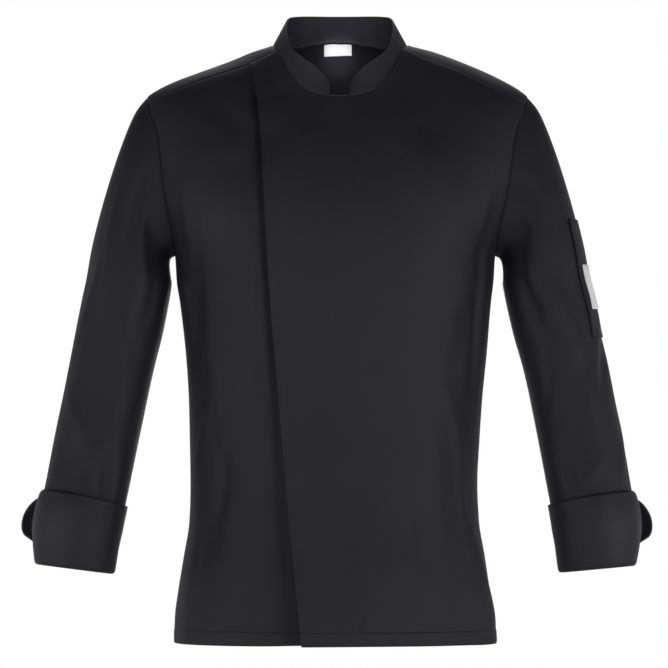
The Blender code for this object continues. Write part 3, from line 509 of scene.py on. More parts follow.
def stitchLine(surface, rows, columns, outward):
    rows, columns = paired(rows, columns)
    points = surface(rows, columns)
    lengths = lengthsOf(points)
    count = max(int(lengths[-1] / threadFacts["pitch"]), 1)
    marks = (np.arange(count) + 0.5) * lengths[-1] / count
    rows, columns = np.interp(marks, lengths, rows), np.interp(marks, lengths, columns)
    step = threadFacts["step"]
    around = surface(rows, columns + step) - surface(rows, columns - step)
    upward = surface(rows + step, columns) - surface(rows - step, columns)
    normals = unit(np.cross(around, upward))
    behind, centres, ahead = [pointsAt(marks + way, lengths, points) for way in (-1, 0, 1)]
    if sum(np.dot(normal, outward(centre)) for normal, centre in zip(normals, centres)) < 0:
        normals = -normals
    return list(zip(centres + normals * threadFacts["lift"], ahead - behind, normals))


def makeStitches(name, lines, look):
    thread = threadMesh()
    bm = bmesh.new()
    for centre, along, normal in (stitch for line in lines for stitch in line):
        along, normal = Vector(along).normalized(), Vector(normal)
        side = normal.cross(along).normalized()
        place = Matrix((along, side, along.cross(side))).transposed().to_4x4()
        place.translation = Vector(centre) * mm
        thread.transform(place)
        bm.from_mesh(thread)
        thread.transform(place.inverted())
    bpy.data.meshes.remove(thread)
    piece = objectOf(name, bm, look)
    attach(piece, "root")
    print(f"{name}: {sum(len(line) for line in lines)} stitches")
    return piece


def fill(tree, node, sockets):  # a socket takes a value, or a link from another node's socket
    for key, value in sockets.items():
        if isinstance(value, bpy.types.NodeSocket):
            tree.links.new(value, node.inputs[key])
        else:
            node.inputs[key].default_value = value
    return node


def addNode(tree, kind, sockets):
    return fill(tree, tree.nodes.new(kind), sockets)


def mathNode(tree, operation, *values):
    node = tree.nodes.new("ShaderNodeMath")
    node.operation = operation
    return fill(tree, node, dict(enumerate(values))).outputs[0]


def noiseOf(tree, scale, detail=2):
    place = tree.nodes.new("ShaderNodeTexCoord").outputs["Object"]
    sockets = {"Vector": place, "Scale": scale, "Detail": detail}
    return addNode(tree, "ShaderNodeTexNoise", sockets).outputs["Fac"]


def tinted(tree, shade, dark, light):
    mix = tree.nodes.new("ShaderNodeMix")
    mix.data_type = "RGBA"
    return fill(tree, mix, {0: shade, 6: (*dark, 1), 7: (*light, 1)}).outputs[2]


def bumped(tree, height, strength, distance, **under):
    sockets = {"Height": height, "Strength": strength, "Distance": distance, **under}
    return addNode(tree, "ShaderNodeBump", sockets).outputs["Normal"]


def newLook(name):
    made = bpy.data.materials.new(name)
    made.use_nodes = True
    return made, made.node_tree, made.node_tree.nodes["Principled BSDF"]


twillFacts = {"slant": 0.6, "rib": 6.2832, "yarn": 10, "yarnShare": 0.25, "shade": (0.4, 0.5)}


def makeTwill():
    made = bpy.data.node_groups.new("twillWeave", "ShaderNodeTree")
    for name, way, kind in (("Place", "INPUT", "Vector"), ("Pitch", "INPUT", "Float"),
                            ("Height", "OUTPUT", "Float"), ("Shade", "OUTPUT", "Float")):
        made.interface.new_socket(name, in_out=way, socket_type="NodeSocket" + kind)
    entry = made.nodes.new("NodeGroupInput").outputs
    split = addNode(made, "ShaderNodeSeparateXYZ", {0: entry["Place"]})
    u, v = [mathNode(made, "DIVIDE", split.outputs[axis], entry["Pitch"]) for axis in (0, 1)]
    slant = mathNode(made, "MULTIPLY_ADD", v, twillFacts["slant"], u)
    rib, yarn = [mathNode(made, "SINE", mathNode(made, "MULTIPLY", way, twillFacts[key]))
                 for way, key in ((slant, "rib"), (v, "yarn"))]
    height = mathNode(made, "MULTIPLY_ADD", yarn, twillFacts["yarnShare"], rib)
    shade = mathNode(made, "MULTIPLY_ADD", height, *twillFacts["shade"])
    addNode(made, "NodeGroupOutput", {"Height": height, "Shade": shade})
    return made


def makeMaterial(name, facts, weave):
    made, tree, shader = newLook(name)
    uv = tree.nodes.new("ShaderNodeUVMap")
    uv.uv_map = "clothUv"
    twill = tree.nodes.new("ShaderNodeGroup")
    twill.node_tree = weave
    fill(tree, twill, {"Place": uv.outputs[0], "Pitch": facts["pitch"]})
    clouds = noiseOf(tree, facts["cloudScale"], 4)
    shade = mathNode(tree, "MULTIPLY_ADD", twill.outputs["Shade"], facts["weaveShade"],
                     mathNode(tree, "MULTIPLY", clouds, 1 - facts["weaveShade"]))
    soft = bumped(tree, noiseOf(tree, facts["puckerScale"], 3), facts["puckerStrength"],
                  facts["puckerDepth"])
    fill(tree, shader, {
        "Base Color": tinted(tree, shade, facts["dark"], facts["light"]),
        "Roughness": mathNode(tree, "MULTIPLY_ADD", clouds, facts["roughSpread"], facts["rough"]),
        "Sheen Weight": facts["sheen"], "Sheen Roughness": facts["sheenRoughness"],
        "Sheen Tint": (*facts["sheenTint"], 1), "Specular IOR Level": facts["specular"],
        "Normal": bumped(tree, twill.outputs["Height"], facts["weaveStrength"],
                         facts["weaveDepth"], Normal=soft),
    })
    return made


def makeThreadLook(name):
    made, tree, shader = newLook(name)
    fibre = noiseOf(tree, threadFacts["fibreScale"])
    dark, light = [[share * part for part in threadFacts[name]] for share in threadFacts["shades"]]
    bump = bumped(tree, fibre, threadFacts["fibreStrength"], finishes["jacketCloth"]["weaveDepth"])
    fill(tree, shader, {"Base Color": tinted(tree, fibre, dark, light), "Normal": bump,
                        "Roughness": threadFacts["rough"], "Sheen Weight": threadFacts["sheen"]})
    return made


jacketFinish = {  # scales per metre, pitch and depths in metres
    "dark": (0.0072, 0.0066, 0.0104), "light": (0.0128, 0.0117, 0.0179), "pitch": 0.0008,
    "weaveShade": 0.35, "cloudScale": 9, "rough": 0.54, "roughSpread": 0.14, "sheen": 0.05,
    "sheenRoughness": 0.35, "sheenTint": (0.85, 0.84, 1), "specular": 0.32, "puckerScale": 16,
    "puckerStrength": 0.7, "puckerDepth": 0.004, "weaveStrength": 0.35, "weaveDepth": 0.0001,
}
finishes = {
    "jacketCloth": jacketFinish,
    # the jacket's own cloth with a paler colour: painted sheen for the yoke and collar, which
    # catch more light
    "yokeClothPaintedSheen": {
        **jacketFinish, "dark": (0.0108, 0.0099, 0.0152), "light": (0.0156, 0.0144, 0.0215),
        "cloudScale": 11, "rough": 0.56, "sheenRoughness": 0.4, "puckerScale": 20,
        "puckerStrength": 0.6,
    },
    "labelCloth": {
        **jacketFinish, "dark": (0.88, 0.88, 0.9), "light": (0.93, 0.93, 0.94), "pitch": 0.0005,
        "weaveShade": 0.5, "cloudScale": 30, "rough": 0.6, "roughSpread": 0.1,
        "sheenRoughness": 0.4, "sheenTint": (1, 1, 1), "specular": 0.4, "puckerScale": 60,
        "puckerStrength": 0.15, "weaveStrength": 0.4,
    },
}
twillWeave = makeTwill()
looks = {name: makeMaterial(name, facts, twillWeave) for name, facts in finishes.items()}
looks.update({name: makeThreadLook(name) for name in ("jacketThread", "labelThread")})
print("materials made")


def fromAxis(place):
    return (place[0] - 1, place[1], 0.3 * max(place[2] + 120, 0))


def edgeRoll(rows, columns, lastRow, lastColumn):
    near = np.minimum(np.minimum(rows, lastRow - rows), np.minimum(columns, lastColumn - columns))
    return -cloth["roll"] * np.clip(1 - near / cloth["rollReach"], 0, 1) ** 2


def ventLift(angle, height, side):
    seam = seamAngle(height, side)
    drop = (sideSeams["ventTop"] - height) / (sideSeams["ventTop"] - torso["hemSide"])
    near = 1 - ease(np.abs(seam - angle) * sideSeams["ventRadius"] / sideSeams["ventReach"])
    lap = sideSeams["ventCover"] * ease(drop * 5) if side > 0 else 0
    lift = near * (lap + sideSeams["ventLift"][0 if side > 0 else 1] * drop)
    return np.where(height < sideSeams["ventTop"], lift, 0)


def edgeLift(angle, height):
    edge = angleOf(-edgeAcross(height), height)
    drop = (frontEdge["liftStart"] - height) / (frontEdge["liftStart"] - torso["hemFront"])
    near = 1 - ease((angle - edge) * torso["radius"] / frontEdge["liftReach"])
    return np.where(height < frontEdge["liftStart"], frontEdge["lift"] * ease(drop) * near, 0)


def movedSeam(line, side):
    drop = (sideSeams["ventTop"] - line[:, 1]) / (sideSeams["ventTop"] - torso["hemSide"])
    if side > 0:
        move = math.radians(sideSeams["ventLap"]) * ease(drop * 1.3 - 0.3)
    else:
        move = math.radians(sideSeams["ventGap"]) * ease(drop)
    moved = line.copy()
    moved[:, 0] += np.where(line[:, 1] < sideSeams["ventTop"], move, 0)
    return moved


hemFacts = {"row": 0.52, "rowStep": 35, "columnStep": 16, "double": 0.5}
seamFacts = {"groove": 0.5, "grooveWidth": 1.1, "pucker": 0.3, "puckerReach": 9,
             "waves": (4.1, 11.3, 6.7)}


def seamLift(along, distance):  # a groove beneath the stitches, and puckers beside it
    groove = -seamFacts["groove"] * np.exp(-(distance / seamFacts["grooveWidth"]) ** 2)
    one, two, three = [along / length for length in seamFacts["waves"]]
    wave = np.sin(one) * np.sin(two + 1) + 0.5 * np.sin(three + 2)
    near = np.exp(-(distance / seamFacts["puckerReach"]) ** 2)
    return groove + seamFacts["pucker"] * wave * near


def hemLift(rows, columns):
    distance = (rows - hemFacts["row"]) * hemFacts["rowStep"]
    band = hemFacts["double"] * ease(0.5 - distance / 3)
    return band + seamLift(columns * hemFacts["columnStep"], distance)


def panelSurface(grid, liftOf, corners, sides=None):
    lastRow, lastColumn = grid.shape[0] - 1, grid.shape[1] - 1
    plan = bodyForm(*parted(grid))[..., :2]

    def surface(rows, columns):
        rows, columns = paired(rows, columns)
        places = readGrid(grid, rows, columns, corners=corners)
        if sides is not None:  # near its top a front is read in plan, as the yoke is
            near = ease((rows - lattice["planRow"]) / 2) * ease(columns - sides[0])
            near = (near * ease(sides[1] - columns))[..., None]
            flat = readGrid(plan, rows, columns, corners=corners)
            high = onPlan(*parted(flat))
            places = np.where(near > 0, places + (high - places) * near, places)
        angle, height = parted(places)
        lift = liftOf(angle, height, columns) + edgeRoll(rows, columns, lastRow, lastColumn)
        return bodySkin(angle, height, lift + hemLift(rows, columns))

    return surface


def bodyPanel(name, grid, liftOf, nodes, sewnSides, corners, extra=(), sides=None):
    surface = panelSurface(grid, liftOf, corners, sides)
    nearHem = [hemFacts["row"] + step for step in (-0.09, -0.06, -0.03, 0, 0.03, 0.06, 0.09)]
    rowMarks = marksOf(grid.shape[0] - 1, 6, extra=nearHem)
    columnMarks = marksOf(grid.shape[1] - 1, 6, extra=extra)
    rows, columns = np.meshgrid(rowMarks, columnMarks, indexing="ij")
    sewnEdges = [edge for edge, sewn in zip((0, len(columnMarks) - 1), sewnSides) if sewn]

    def turned(row, column):  # sewn along its top, and up a side from above the vent
        up = rowMarks[row] > sideSeams["sewnRow"]
        return row == len(rowMarks) - 1 or (up and column in sewnEdges)

    made = makeCloth(name, surface(rows, columns), fromAxis, cloth["wall"], looks["jacketCloth"],
                     nodes, turned=turned)
    return made, surface


wholeFront, edgeRight, edgeLeft = frontGrid()
lastFront = wholeFront.shape[1] - 1
layLift = cloth["wall"] + cloth["layGap"]

underGrid = wholeFront[:, :edgeLeft + 1].copy()
underGrid[:, 0] = movedSeam(underGrid[:, 0], -1)
neckCorner = lattice["columnsSide"] + lattice["columnsCorner"]
sideCorner = (lattice["rowsSide"],)
besideEdge = {"depth": (6, 8, 11), "reach": (6, 9, 25), "drops": (120, 330, 690),
              "top": -34, "topReach": 40}


def underLift(angle, height, column):  # a hollow along the outer front's edge
    edge = angleOf(-edgeAcross(height), height)
    depth, reach = [np.interp(-height, besideEdge["drops"], besideEdge[key])
                    for key in ("depth", "reach")]
    depth = depth * ease((besideEdge["top"] - height) / besideEdge["topReach"])
    near = np.exp(-((angle - edge) * torso["radius"] / reach) ** 2)
    return ventLift(angle, height, -1) - depth * near


underFront, underSurface = bodyPanel(
    "underFront", underGrid, underLift, ["under_front"], (True, False),
    (sideCorner, (neckCorner, lastFront - neckCorner)), sides=(0, lastFront))

outerGrid = wholeFront[:, edgeRight:].copy()
outerGrid[:, -1] = movedSeam(outerGrid[:, -1], 1)
edgeStitch = {"column": 0.4, "columnStep": 15}


def outerLift(angle, height, column):  # laid over the under front, down to the body beyond it
    over = (edgeRight + column - (edgeLeft + 1)) / (lastFront - (edgeLeft + 1) - 2)
    lift = layLift * (1 - ease(over)) + edgeLift(angle, height) + ventLift(angle, height, 1)
    return lift + seamLift(height, (column - edgeStitch["column"]) * edgeStitch["columnStep"])


outerFront, outerSurface = bodyPanel(
    "outerFront", outerGrid, outerLift, ["outer_front"], (False, True),
    (sideCorner, (neckCorner - edgeRight, lastFront - neckCorner - edgeRight)),
    [edgeStitch["column"] + step for step in (-0.15, -0.08, -0.04, 0, 0.04, 0.08, 0.15)],
    (-edgeRight, lastFront - edgeRight))

backTop = backSeam()[::-1] + (2 * math.pi, 0)
backTurns = armholeTurns(-armhole["yokeBack"])[1:]
backSides = [np.concatenate((seamBelow(side, turn), armholePlace(backTurns, side) + (turn, 0)))
             for side, turn in ((1, 0), (-1, 2 * math.pi))]
backGrid = fillGrid([(0, backSides[0]), (lattice["columnsBack"], backSides[1])], backTop)
back, backSurface = bodyPanel("back", backGrid, lambda angle, height, column: 0 * angle, ["back"],
                              (True, True), (sideCorner, ()))


def yokeGrid():
    rows = neckCorner
    inner = neckLine()
    turns = np.linspace(armhole["yokeFront"], -armhole["yokeBack"], lattice["columnsArmYoke"] + 1)
    right, left = armholePlace(turns, -1), armholePlace(turns[-2::-1], 1)
    outer = np.concatenate((right, backSeam()[1:], left))
    part = np.arange(rows + 1)[:, None, None] / rows
    start, end = bodyForm(*inner.T), bodyForm(*outer.T)
    plan = start + (end - start) * part
    places = onPlan(*parted(plan))
    places[0], places[-1] = inner, outer
    places[:, 0] = wholeFront[-1, rows::-1]
    places[:, -1] = wholeFront[-1, lastFront - rows:]
    return places


yokePlaces = yokeGrid()
yokePoints = bodySkin(*parted(yokePlaces))
yokePlan = bodyForm(*parted(yokePlaces))[..., :2]
lastRow, lastColumn = yokePoints.shape[0] - 1, yokePoints.shape[1] - 1
yokeCorners = (lattice["columnsArmYoke"], lastColumn - lattice["columnsArmYoke"])


def yokeSurface(rows, columns):
    rows, columns = paired(rows, columns)
    plan = readGrid(yokePlan, rows, columns, corners=((), yokeCorners))
    places = onPlan(*parted(plan))
    return bodySkin(*parted(places), edgeRoll(rows, columns, lastRow, lastColumn))


rows, columns = np.meshgrid(marksOf(lastRow, 5), marksOf(lastColumn, 5), indexing="ij")
yoke = makeCloth("yoke", yokeSurface(rows, columns), fromAxis, cloth["wall"], looks["yokeClothPaintedSheen"],
                 ["yoke"], turned=lambda row, column: True)
print("torso made")


collarFacts = {
    "top": (  # share of the way from an end to the back middle, across, along, height
        (0, 12.4, -60, -55.5), (0.03, 18, -58.5, -44), (0.066, 25.5, -57.2, -35.5),
        (0.106, 33, -55, -28.5), (0.15, 42, -51.5, -22.5), (0.21, 53, -45.5, -13.5),
        (0.271, 61.5, -38, -4.5), (0.35, 66.5, -29, 8), (0.43, 68.5, -17, 19),
        (0.486, 68.8, -7, 26), (0.538, 68.2, 3, 31.5), (0.588, 66.5, 12, 35.5),
        (0.645, 62, 21, 38.7), (0.716, 52.5, 31.5, 40.8), (0.785, 41, 38.5, 41.8),
        (0.859, 27.5, 43.2, 42.2), (0.927, 14.5, 45.8, 42.3), (1, 0, 46.5, 42.3),
    ),
    "rows": 4, "per": 4, "footIn": 0.7, "footTop": 0.25, "footReach": 0.4,
}


def neckEdge():  # the panels' own neck edges, from the right front round to the left front
    high, per = outerGrid.shape[0] - 1, collarFacts["per"]
    corner, middle = neckCorner - edgeRight, wholeFront.shape[1] // 2 - edgeRight
    rightColumns = np.linspace(middle - 1, corner, (middle - 1 - corner) * per + 1)[:-1]
    leftColumns = 2 * middle - 1 - rightColumns
    yokeColumns = np.arange(lastColumn * per + 1) / per
    return np.concatenate((outerSurface(high, rightColumns), yokeSurface(0, yokeColumns),
                           outerSurface(high, leftColumns[::-1])))


def collarRows():
    feet = neckEdge()
    length = lengthsOf(feet)
    share = np.minimum(length, length[-1] - length) * 2 / length[-1]
    side = np.where(length < length[-1] / 2, -1, 1)
    across, along, height = [curveOf(collarFacts["top"], column)(share) for column in (1, 2, 3)]
    tops = np.stack((neckline["middle"] + side * across, along, height), axis=-1)
    part = np.arange(collarFacts["rows"] + 1)[:, None, None] / collarFacts["rows"]
    return feet + (tops - feet) * part


collarGrid = collarRows()


def collarSurface(rows, columns):  # its foot goes down inside the neck edge of the body
    rows, columns = paired(rows, columns)
    points = readGrid(collarGrid, rows, columns)
    inward = np.array((neckline["middle"], 0, 0)) - points
    inward[..., 2] = 0
    foot = collarFacts["footIn"] * ease((collarFacts["footTop"] - rows) / collarFacts["footReach"])
    return points + unit(inward) * foot[..., None]


rowMarks = np.r_[-0.35, -0.2, marksOf(collarGrid.shape[0] - 1, 4, startEdge=False)]
rows, columns = np.meshgrid(rowMarks, marksOf(collarGrid.shape[1] - 1, 2), indexing="ij")
# the collar takes the yoke's cloth, painted paler as painted sheen
collar = makeCloth("collar", collarSurface(rows, columns), fromAxis, cloth["doubled"],
                   looks["yokeClothPaintedSheen"], ["collar"])
print("collar made")


sleeveFacts = {
    "rings": (  # height, out right, out left, forward, half width, half depth
        (-300, 262, 266.5, 0, 54, 70), (-343, 270, 276, 3, 54.5, 68), (-404, 283, 291, 8, 53, 65),
        (-450, 292, 300, 13, 52.5, 62), (-495, 301, 308.5, 19, 52.5, 59),
        (-556, 312.5, 319, 28, 52, 54), (-600, 321, 326, 35, 51.5, 51),
        (-634, 326, 329.5, 39, 50, 49), (-668, 328, 330.5, 42.5, 47.5, 47),
        (-740, 346, 346, 46.5, 47.5, 47),
    ),
    "power": 2.2, "radius": 60, "axisTop": -150, "axisStep": 40,
    "rows": (-328, -358, -390, -422, -456, -490, -524, -556, -588, -622, -641, -657.6),
    "capRows": 5, "capReach": ((0, 20), (90, 48), (180, 13)), "capSlope": 17,
    "lowReach": (12, 40), "roll": 0.6, "rollReach": 0.12,
    "end": -657.6, "flap": ((2.9, -9), (2.3, -1)),  # seam allowance under the body: depth, reach
    "folds": {
        -1: (
            (60, -250, 80, 10, 4, 3.5), (118, -240, 90, 10, -4, 3.5), (88, -440, 60, 14, 10, -3.5),
            (70, -540, 30, 16, 60, -3.5), (-80, -430, 60, 16, 20, -3.5),
        ),
        1: (
            (120, -270, 100, 10, -22, 4), (60, -400, 50, 12, 30, -4), (96, -480, 60, 14, -14, -3),
            (-70, -450, 60, 16, -20, -3.5), (-8, -690, 60, 45, 0, -5),
        ),
    },
    "creases": {  # finer ones, laid on the finished grid: turn, height, long, wide, turn, out
        -1: (
            (65, -250, 90, 9, 4, 2.6), (112, -235, 100, 9, -4, 2.6), (88, -245, 90, 8, 0, -2.6),
            (118, -548, 34, 10, 12, -4.5), (40, -330, 70, 7, -12, 1.2), (75, -180, 60, 7, 6, 1.3),
            (100, -360, 60, 7, 14, 1.3), (130, -300, 70, 8, -6, -1.3), (60, -470, 40, 7, 40, 1.4),
            (110, -500, 40, 7, -36, 1.3), (80, -590, 26, 7, 66, -1.4), (30, -560, 30, 8, -50, 1.2),
            (-60, -300, 80, 8, 8, 1.3), (-110, -420, 60, 8, -20, 1.4),
            (-40, -500, 50, 8, 30, -1.3), (-100, -560, 36, 8, 50, 1.3),
            (-130, -260, 60, 8, 10, -1.3),
        ),
        1: (
            (112, -200, 60, 9, -14, 2.6), (96, -300, 60, 9, -14, 2.8),
            (120, -330, 60, 12, -10, -3.5), (75, -290, 50, 9, -10, -2.4),
            (30, -400, 40, 12, 30, -3.8), (116, -545, 30, 10, -12, -3.4),
            (45, -350, 60, 7, 18, 1.2), (80, -180, 60, 7, -8, 1.3), (100, -330, 60, 7, -20, 1.3),
            (70, -430, 50, 7, -34, 1.3), (120, -420, 50, 7, 22, -1.3), (90, -540, 36, 7, 50, 1.4),
            (60, -590, 24, 7, -60, -1.4), (30, -520, 40, 8, 30, 1.2), (-60, -320, 80, 8, -8, 1.3),
            (-100, -440, 60, 8, 22, 1.4), (-40, -520, 50, 8, -28, -1.3),
            (-110, -580, 30, 8, -50, 1.3), (-130, -250, 60, 8, -10, -1.3),
        ),
    },
}
ringCurves = [curveOf(sleeveFacts["rings"], column) for column in range(1, 6)]


def sleeveTurns(even=0):
    over = np.linspace(-armhole["yokeBack"], armhole["yokeFront"], lattice["columnsArmYoke"] + 1)
    front = armholeTurns(armhole["yokeFront"])[::-1]
    rear = armholeTurns(-armhole["yokeBack"])
    turns = np.concatenate((over[:-1], front[:-1], rear[:-1] + 360))
    level = turns[0] + 360 * np.arange(len(turns)) / len(turns)
    return turns + (level - turns) * even


def sleeveFrame(height, side):
    def centre(at):
        out = ringCurves[1 if side > 0 else 0](at)
        return np.stack((side * out, -ringCurves[2](at), np.asarray(at, float)), axis=-1)

    height = np.asarray(height, float)
    step = sleeveFacts["axisStep"]
    axis = unit(centre(height - step) - centre(height + step))
    outward = unit(np.cross(np.array((0, 1, 0)), axis) * side)
    outward = np.where(outward[..., :1] * side < 0, -outward, outward)
    forward = np.cross(axis, outward)
    forward = np.where(forward[..., 1:2] < 0, forward, -forward)
    return centre(height), axis, outward, forward


def awayFromArm(side):
    def outward(place):
        height = min(max(place[2], sleeveFacts["end"]), sleeveFacts["axisTop"])
        centre = sleeveFrame(height, side)[0]
        return (place[0] - centre[0], place[1] - centre[1], 0)

    return outward


def sleeveRing(turn, height, side, offset=0):
    turn, height = paired(turn, height)
    centre, _, outward, forward = sleeveFrame(height, side)
    halfWidth, halfDepth = ringCurves[3](height)[..., None], ringCurves[4](height)[..., None]
    turned = np.radians(turn)
    folds = sleeveFacts["folds"][side]
    offset = np.asarray(offset + foldLift(folds, turned, height, sleeveFacts["radius"]))
    across = signedPower(np.cos(turned), 2 / sleeveFacts["power"])[..., None]
    along = signedPower(np.sin(turned), 2 / sleeveFacts["power"])[..., None]
    point = centre + outward * halfWidth * across + forward * halfDepth * along
    normal = unit(outward * across / halfWidth + forward * along / halfDepth)
    return point + normal * offset[..., None]


def intoHole(points, normals):  # from each point of the armhole to its middle, along the cloth
    opening = points.mean(axis=0) - points
    return unit(opening - np.sum(opening * normals, axis=-1, keepdims=True) * normals)


def sleeveGrid(side):
    turns, even = sleeveTurns(), sleeveTurns(1)
    signed = wrapped(turns)
    places = armholePlace(signed, side)
    start = bodySkin(*parted(places))
    first = sleeveFacts["rings"][0][0]
    end = sleeveRing(even, first, side)
    over = (1 + np.cos(np.radians(turns))) / 2  # 1 at the shoulder, 0 under the arm
    slope = math.radians(sleeveFacts["capSlope"]) * over
    leave = np.stack((side * np.cos(slope), 0 * slope, -np.sin(slope)), axis=-1)
    reach = curveOf(sleeveFacts["capReach"], 1)(np.abs(signed))
    least, more = sleeveFacts["lowReach"]
    one = start + leave * reach[:, None]
    two = end - sleeveFrame(first, side)[1] * (more * over + least)[:, None]
    grid = []
    for part in np.arange(sleeveFacts["capRows"] + 1) / sleeveFacts["capRows"]:
        rest = 1 - part
        grid.append(rest ** 3 * start + 3 * rest ** 2 * part * one
                    + 3 * rest * part ** 2 * two + part ** 3 * end)
    grid = np.array(grid + [sleeveRing(even, height, side) for height in sleeveFacts["rows"]])
    inwards = cloth["seamGap"] * 0.6  # the rest of the gap is on the body's side
    grid[0] += intoHole(grid[0], bodyNormal(*parted(places))) * inwards
    return grid, even


def signedTurns(columns):
    turns = sleeveTurns()
    turns = np.interp(columns, np.arange(len(turns) + 1), np.r_[turns, turns[0] + 360])
    return wrapped(turns)


def sleeveSurface(side, rows, columns):
    grid, even = sleeveGrids[side]
    read = partial(readGrid, grid, closed=True)
    points, step = read(rows, columns), 0.02
    around = read(rows, columns + step) - read(rows, columns - step)
    lowRow = np.minimum(rows, grid.shape[0] - 1 - step)
    downward = read(lowRow + step, columns) - read(lowRow, columns)
    normals = unit(np.cross(around, downward))
    if np.sum(normals * (points - points.mean(axis=(0, 1)))) < 0:
        normals = -normals
    turn = np.radians(even[0] + 360 * columns / len(even))
    lift = foldLift(sleeveFacts["creases"][side], turn, points[..., 2], sleeveFacts["radius"])
    ends = np.minimum(rows, grid.shape[0] - 1 - rows)  # no creases at either end
    lift = cloth["creaseDepth"] * lift * ease(ends / 1.5)
    return points + normals * lift[..., None], normals


sleeveGrids = {side: sleeveGrid(side) for side in (-1, 1)}
for side, name, node in ((-1, "rightSleeve", "right_sleeve"), (1, "leftSleeve", "left_sleeve")):
    grid, even = sleeveGrids[side]
    columnMarks = np.arange(len(even) * 6) / 6
    rows, columns = np.meshgrid(marksOf(grid.shape[0] - 1, 5), columnMarks, indexing="ij")
    points, normals = sleeveSurface(side, rows, columns)
    roll = sleeveFacts["roll"] * np.clip(1 - rows / sleeveFacts["rollReach"], 0, 1) ** 2
    points = points - normals * roll[..., None]
    inward = bodyNormal(*armholePlace(signedTurns(columnMarks), side).T)
    opening = intoHole(points[0], inward)
    flap = [points[0] - inward * drop + opening * reach for drop, reach in sleeveFacts["flap"]]
    makeCloth(name, np.concatenate((np.array(flap), points)), awayFromArm(side),
                              cloth["wall"], looks["jacketCloth"], [node], closed=True)
print("sleeves made")


cuffFacts = {
    "profile": (  # up, out from the sleeve, along the outer face
        (24, -5.5), (12, -5.6), (3, -5.5), (-0.5, -5.2), (-2.7, -3.6), (-3.4, -1.4),
        (-2.6, 1.4), (-0.5, 2.7), (4, 3.2), (28, 4.8), (46, 7), (66, 7.2), (84.3, 5.6),
    ),
    "step": 2.5, "low": 3.2, "snug": 0.1, "flare": 19.5, "flareReach": 40, "flareMiddle": 55,
    "flareHalf": 34, "flareFrom": (19, 18), "degree": 0.95,  # millimetres round per degree
    "corners": ((13, 34), (25, 44)),  # drop and reach: rear end, front end
    "cornersFrom": (16, 60), "start": -11, "stop": 344,  # the vent lies between the two turns
}


def cuffPoints(side, profile, turns):
    up, out = profile[:, 0][:, None], profile[:, 1][:, None]
    fromRear = (cuffFacts["stop"] - turns) * cuffFacts["degree"]
    fromFront = (turns - cuffFacts["start"]) * cuffFacts["degree"]
    snug = cuffFacts["snug"] + (1 - cuffFacts["snug"]) * (1 + np.cos(np.radians(turns))) / 2
    low = cuffFacts["low"]
    stand = np.where(out > low, low + (out - low) * snug, out)
    near = 1 - ease(fromRear / cuffFacts["flareReach"])
    bow = ((up - cuffFacts["flareMiddle"]) / cuffFacts["flareHalf"]) ** 2
    foot, reach = cuffFacts["flareFrom"]
    arch = np.sqrt(np.clip(1 - bow, 0, 1))
    stand = stand + cuffFacts["flare"] * near * arch * ease((up - foot) / reach)
    lower = sum(drop * np.maximum(0, 1 - away / far) ** 2
                for away, (drop, far) in zip((fromRear, fromFront), cuffFacts["corners"]))
    foot, reach = cuffFacts["cornersFrom"]
    rise = up - lower * ease((up - foot) / reach)
    return sleeveRing(turns, sleeveFacts["end"] + rise, side, stand)


def densePath(rows, step):
    points = np.array(rows, float)
    lengths = lengthsOf(points)
    places = np.linspace(0, lengths[-1], int(lengths[-1] / step) + 1)
    both = [curveOf(list(zip(lengths, axis)), 1)(places) for axis in points.T]
    return np.stack(both, axis=-1)


cuffs, cuffGrids = {}, {}
start, stop = cuffFacts["start"], cuffFacts["stop"]
turns = np.r_[start, start + 0.5, start + 1.5, np.linspace(start + 3.5, stop - 3.5, 120),
              stop - 1.5, stop - 0.5, stop]
cuffProfile = densePath(cuffFacts["profile"], cuffFacts["step"])
for side, name, node in ((-1, "rightCuff", "right_cuff"), (1, "leftCuff", "left_cuff")):
    cuffGrids[side] = cuffPoints(side, cuffProfile, turns)
    cuffs[side] = makeCloth(name, cuffGrids[side], awayFromArm(side), cloth["doubled"],
                            looks["jacketCloth"], [node])
print("cuffs made")


onSleeve = {  # in millimetres up and in degrees round the left sleeve
    "pocket": {"top": -222, "bottom": -370, "front": 46, "rear": -44, "tall": 60, "wide": 40,
               "low": cloth["layGap"], "wall": cloth["wall"]},
    "label": {"top": -279, "bottom": -335, "front": 38, "rear": 4, "tall": 24, "wide": 18,
              "low": 2 * cloth["layGap"] + cloth["wall"], "wall": cloth["label"]},
}


def rowAt(column, height):
    grid = sleeveGrids[1][0]
    marks = np.linspace(0, grid.shape[0] - 1, 400)
    heights = readGrid(grid, marks, column, True)[..., 2]
    return float(np.interp(-height, -heights, marks))


def laidOnSleeve(name, facts, look, node):
    even = sleeveGrids[1][1]
    ends = [(facts[end] - even[0]) * len(even) / 360 for end in ("rear", "front")]
    columns = np.linspace(*ends, facts["wide"])
    tops, bottoms = [np.array([rowAt(column, facts[end]) for column in columns])
                     for end in ("top", "bottom")]
    rows = tops + (bottoms - tops) * np.linspace(0, 1, facts["tall"])[:, None]
    points, normals = sleeveSurface(1, rows, columns + 0 * rows)
    points = points + normals * (facts["low"] + facts["wall"])
    return makeCloth(name, points, awayFromArm(1), facts["wall"], look, [node]), points


pocket, pocketPoints = laidOnSleeve(
    "sleevePocket", onSleeve["pocket"], looks["jacketCloth"], "sleeve_pocket")
sleeveLabel, sleeveLabelPoints = laidOnSleeve(
    "sleeveLabel", onSleeve["label"], looks["labelCloth"], "sleeve_label")

neckLabelFacts = {"rows": (0.3, 2.45), "middle": 3.2, "width": 36}


def labelFacing(place):
    return (0, -1, -0.5)


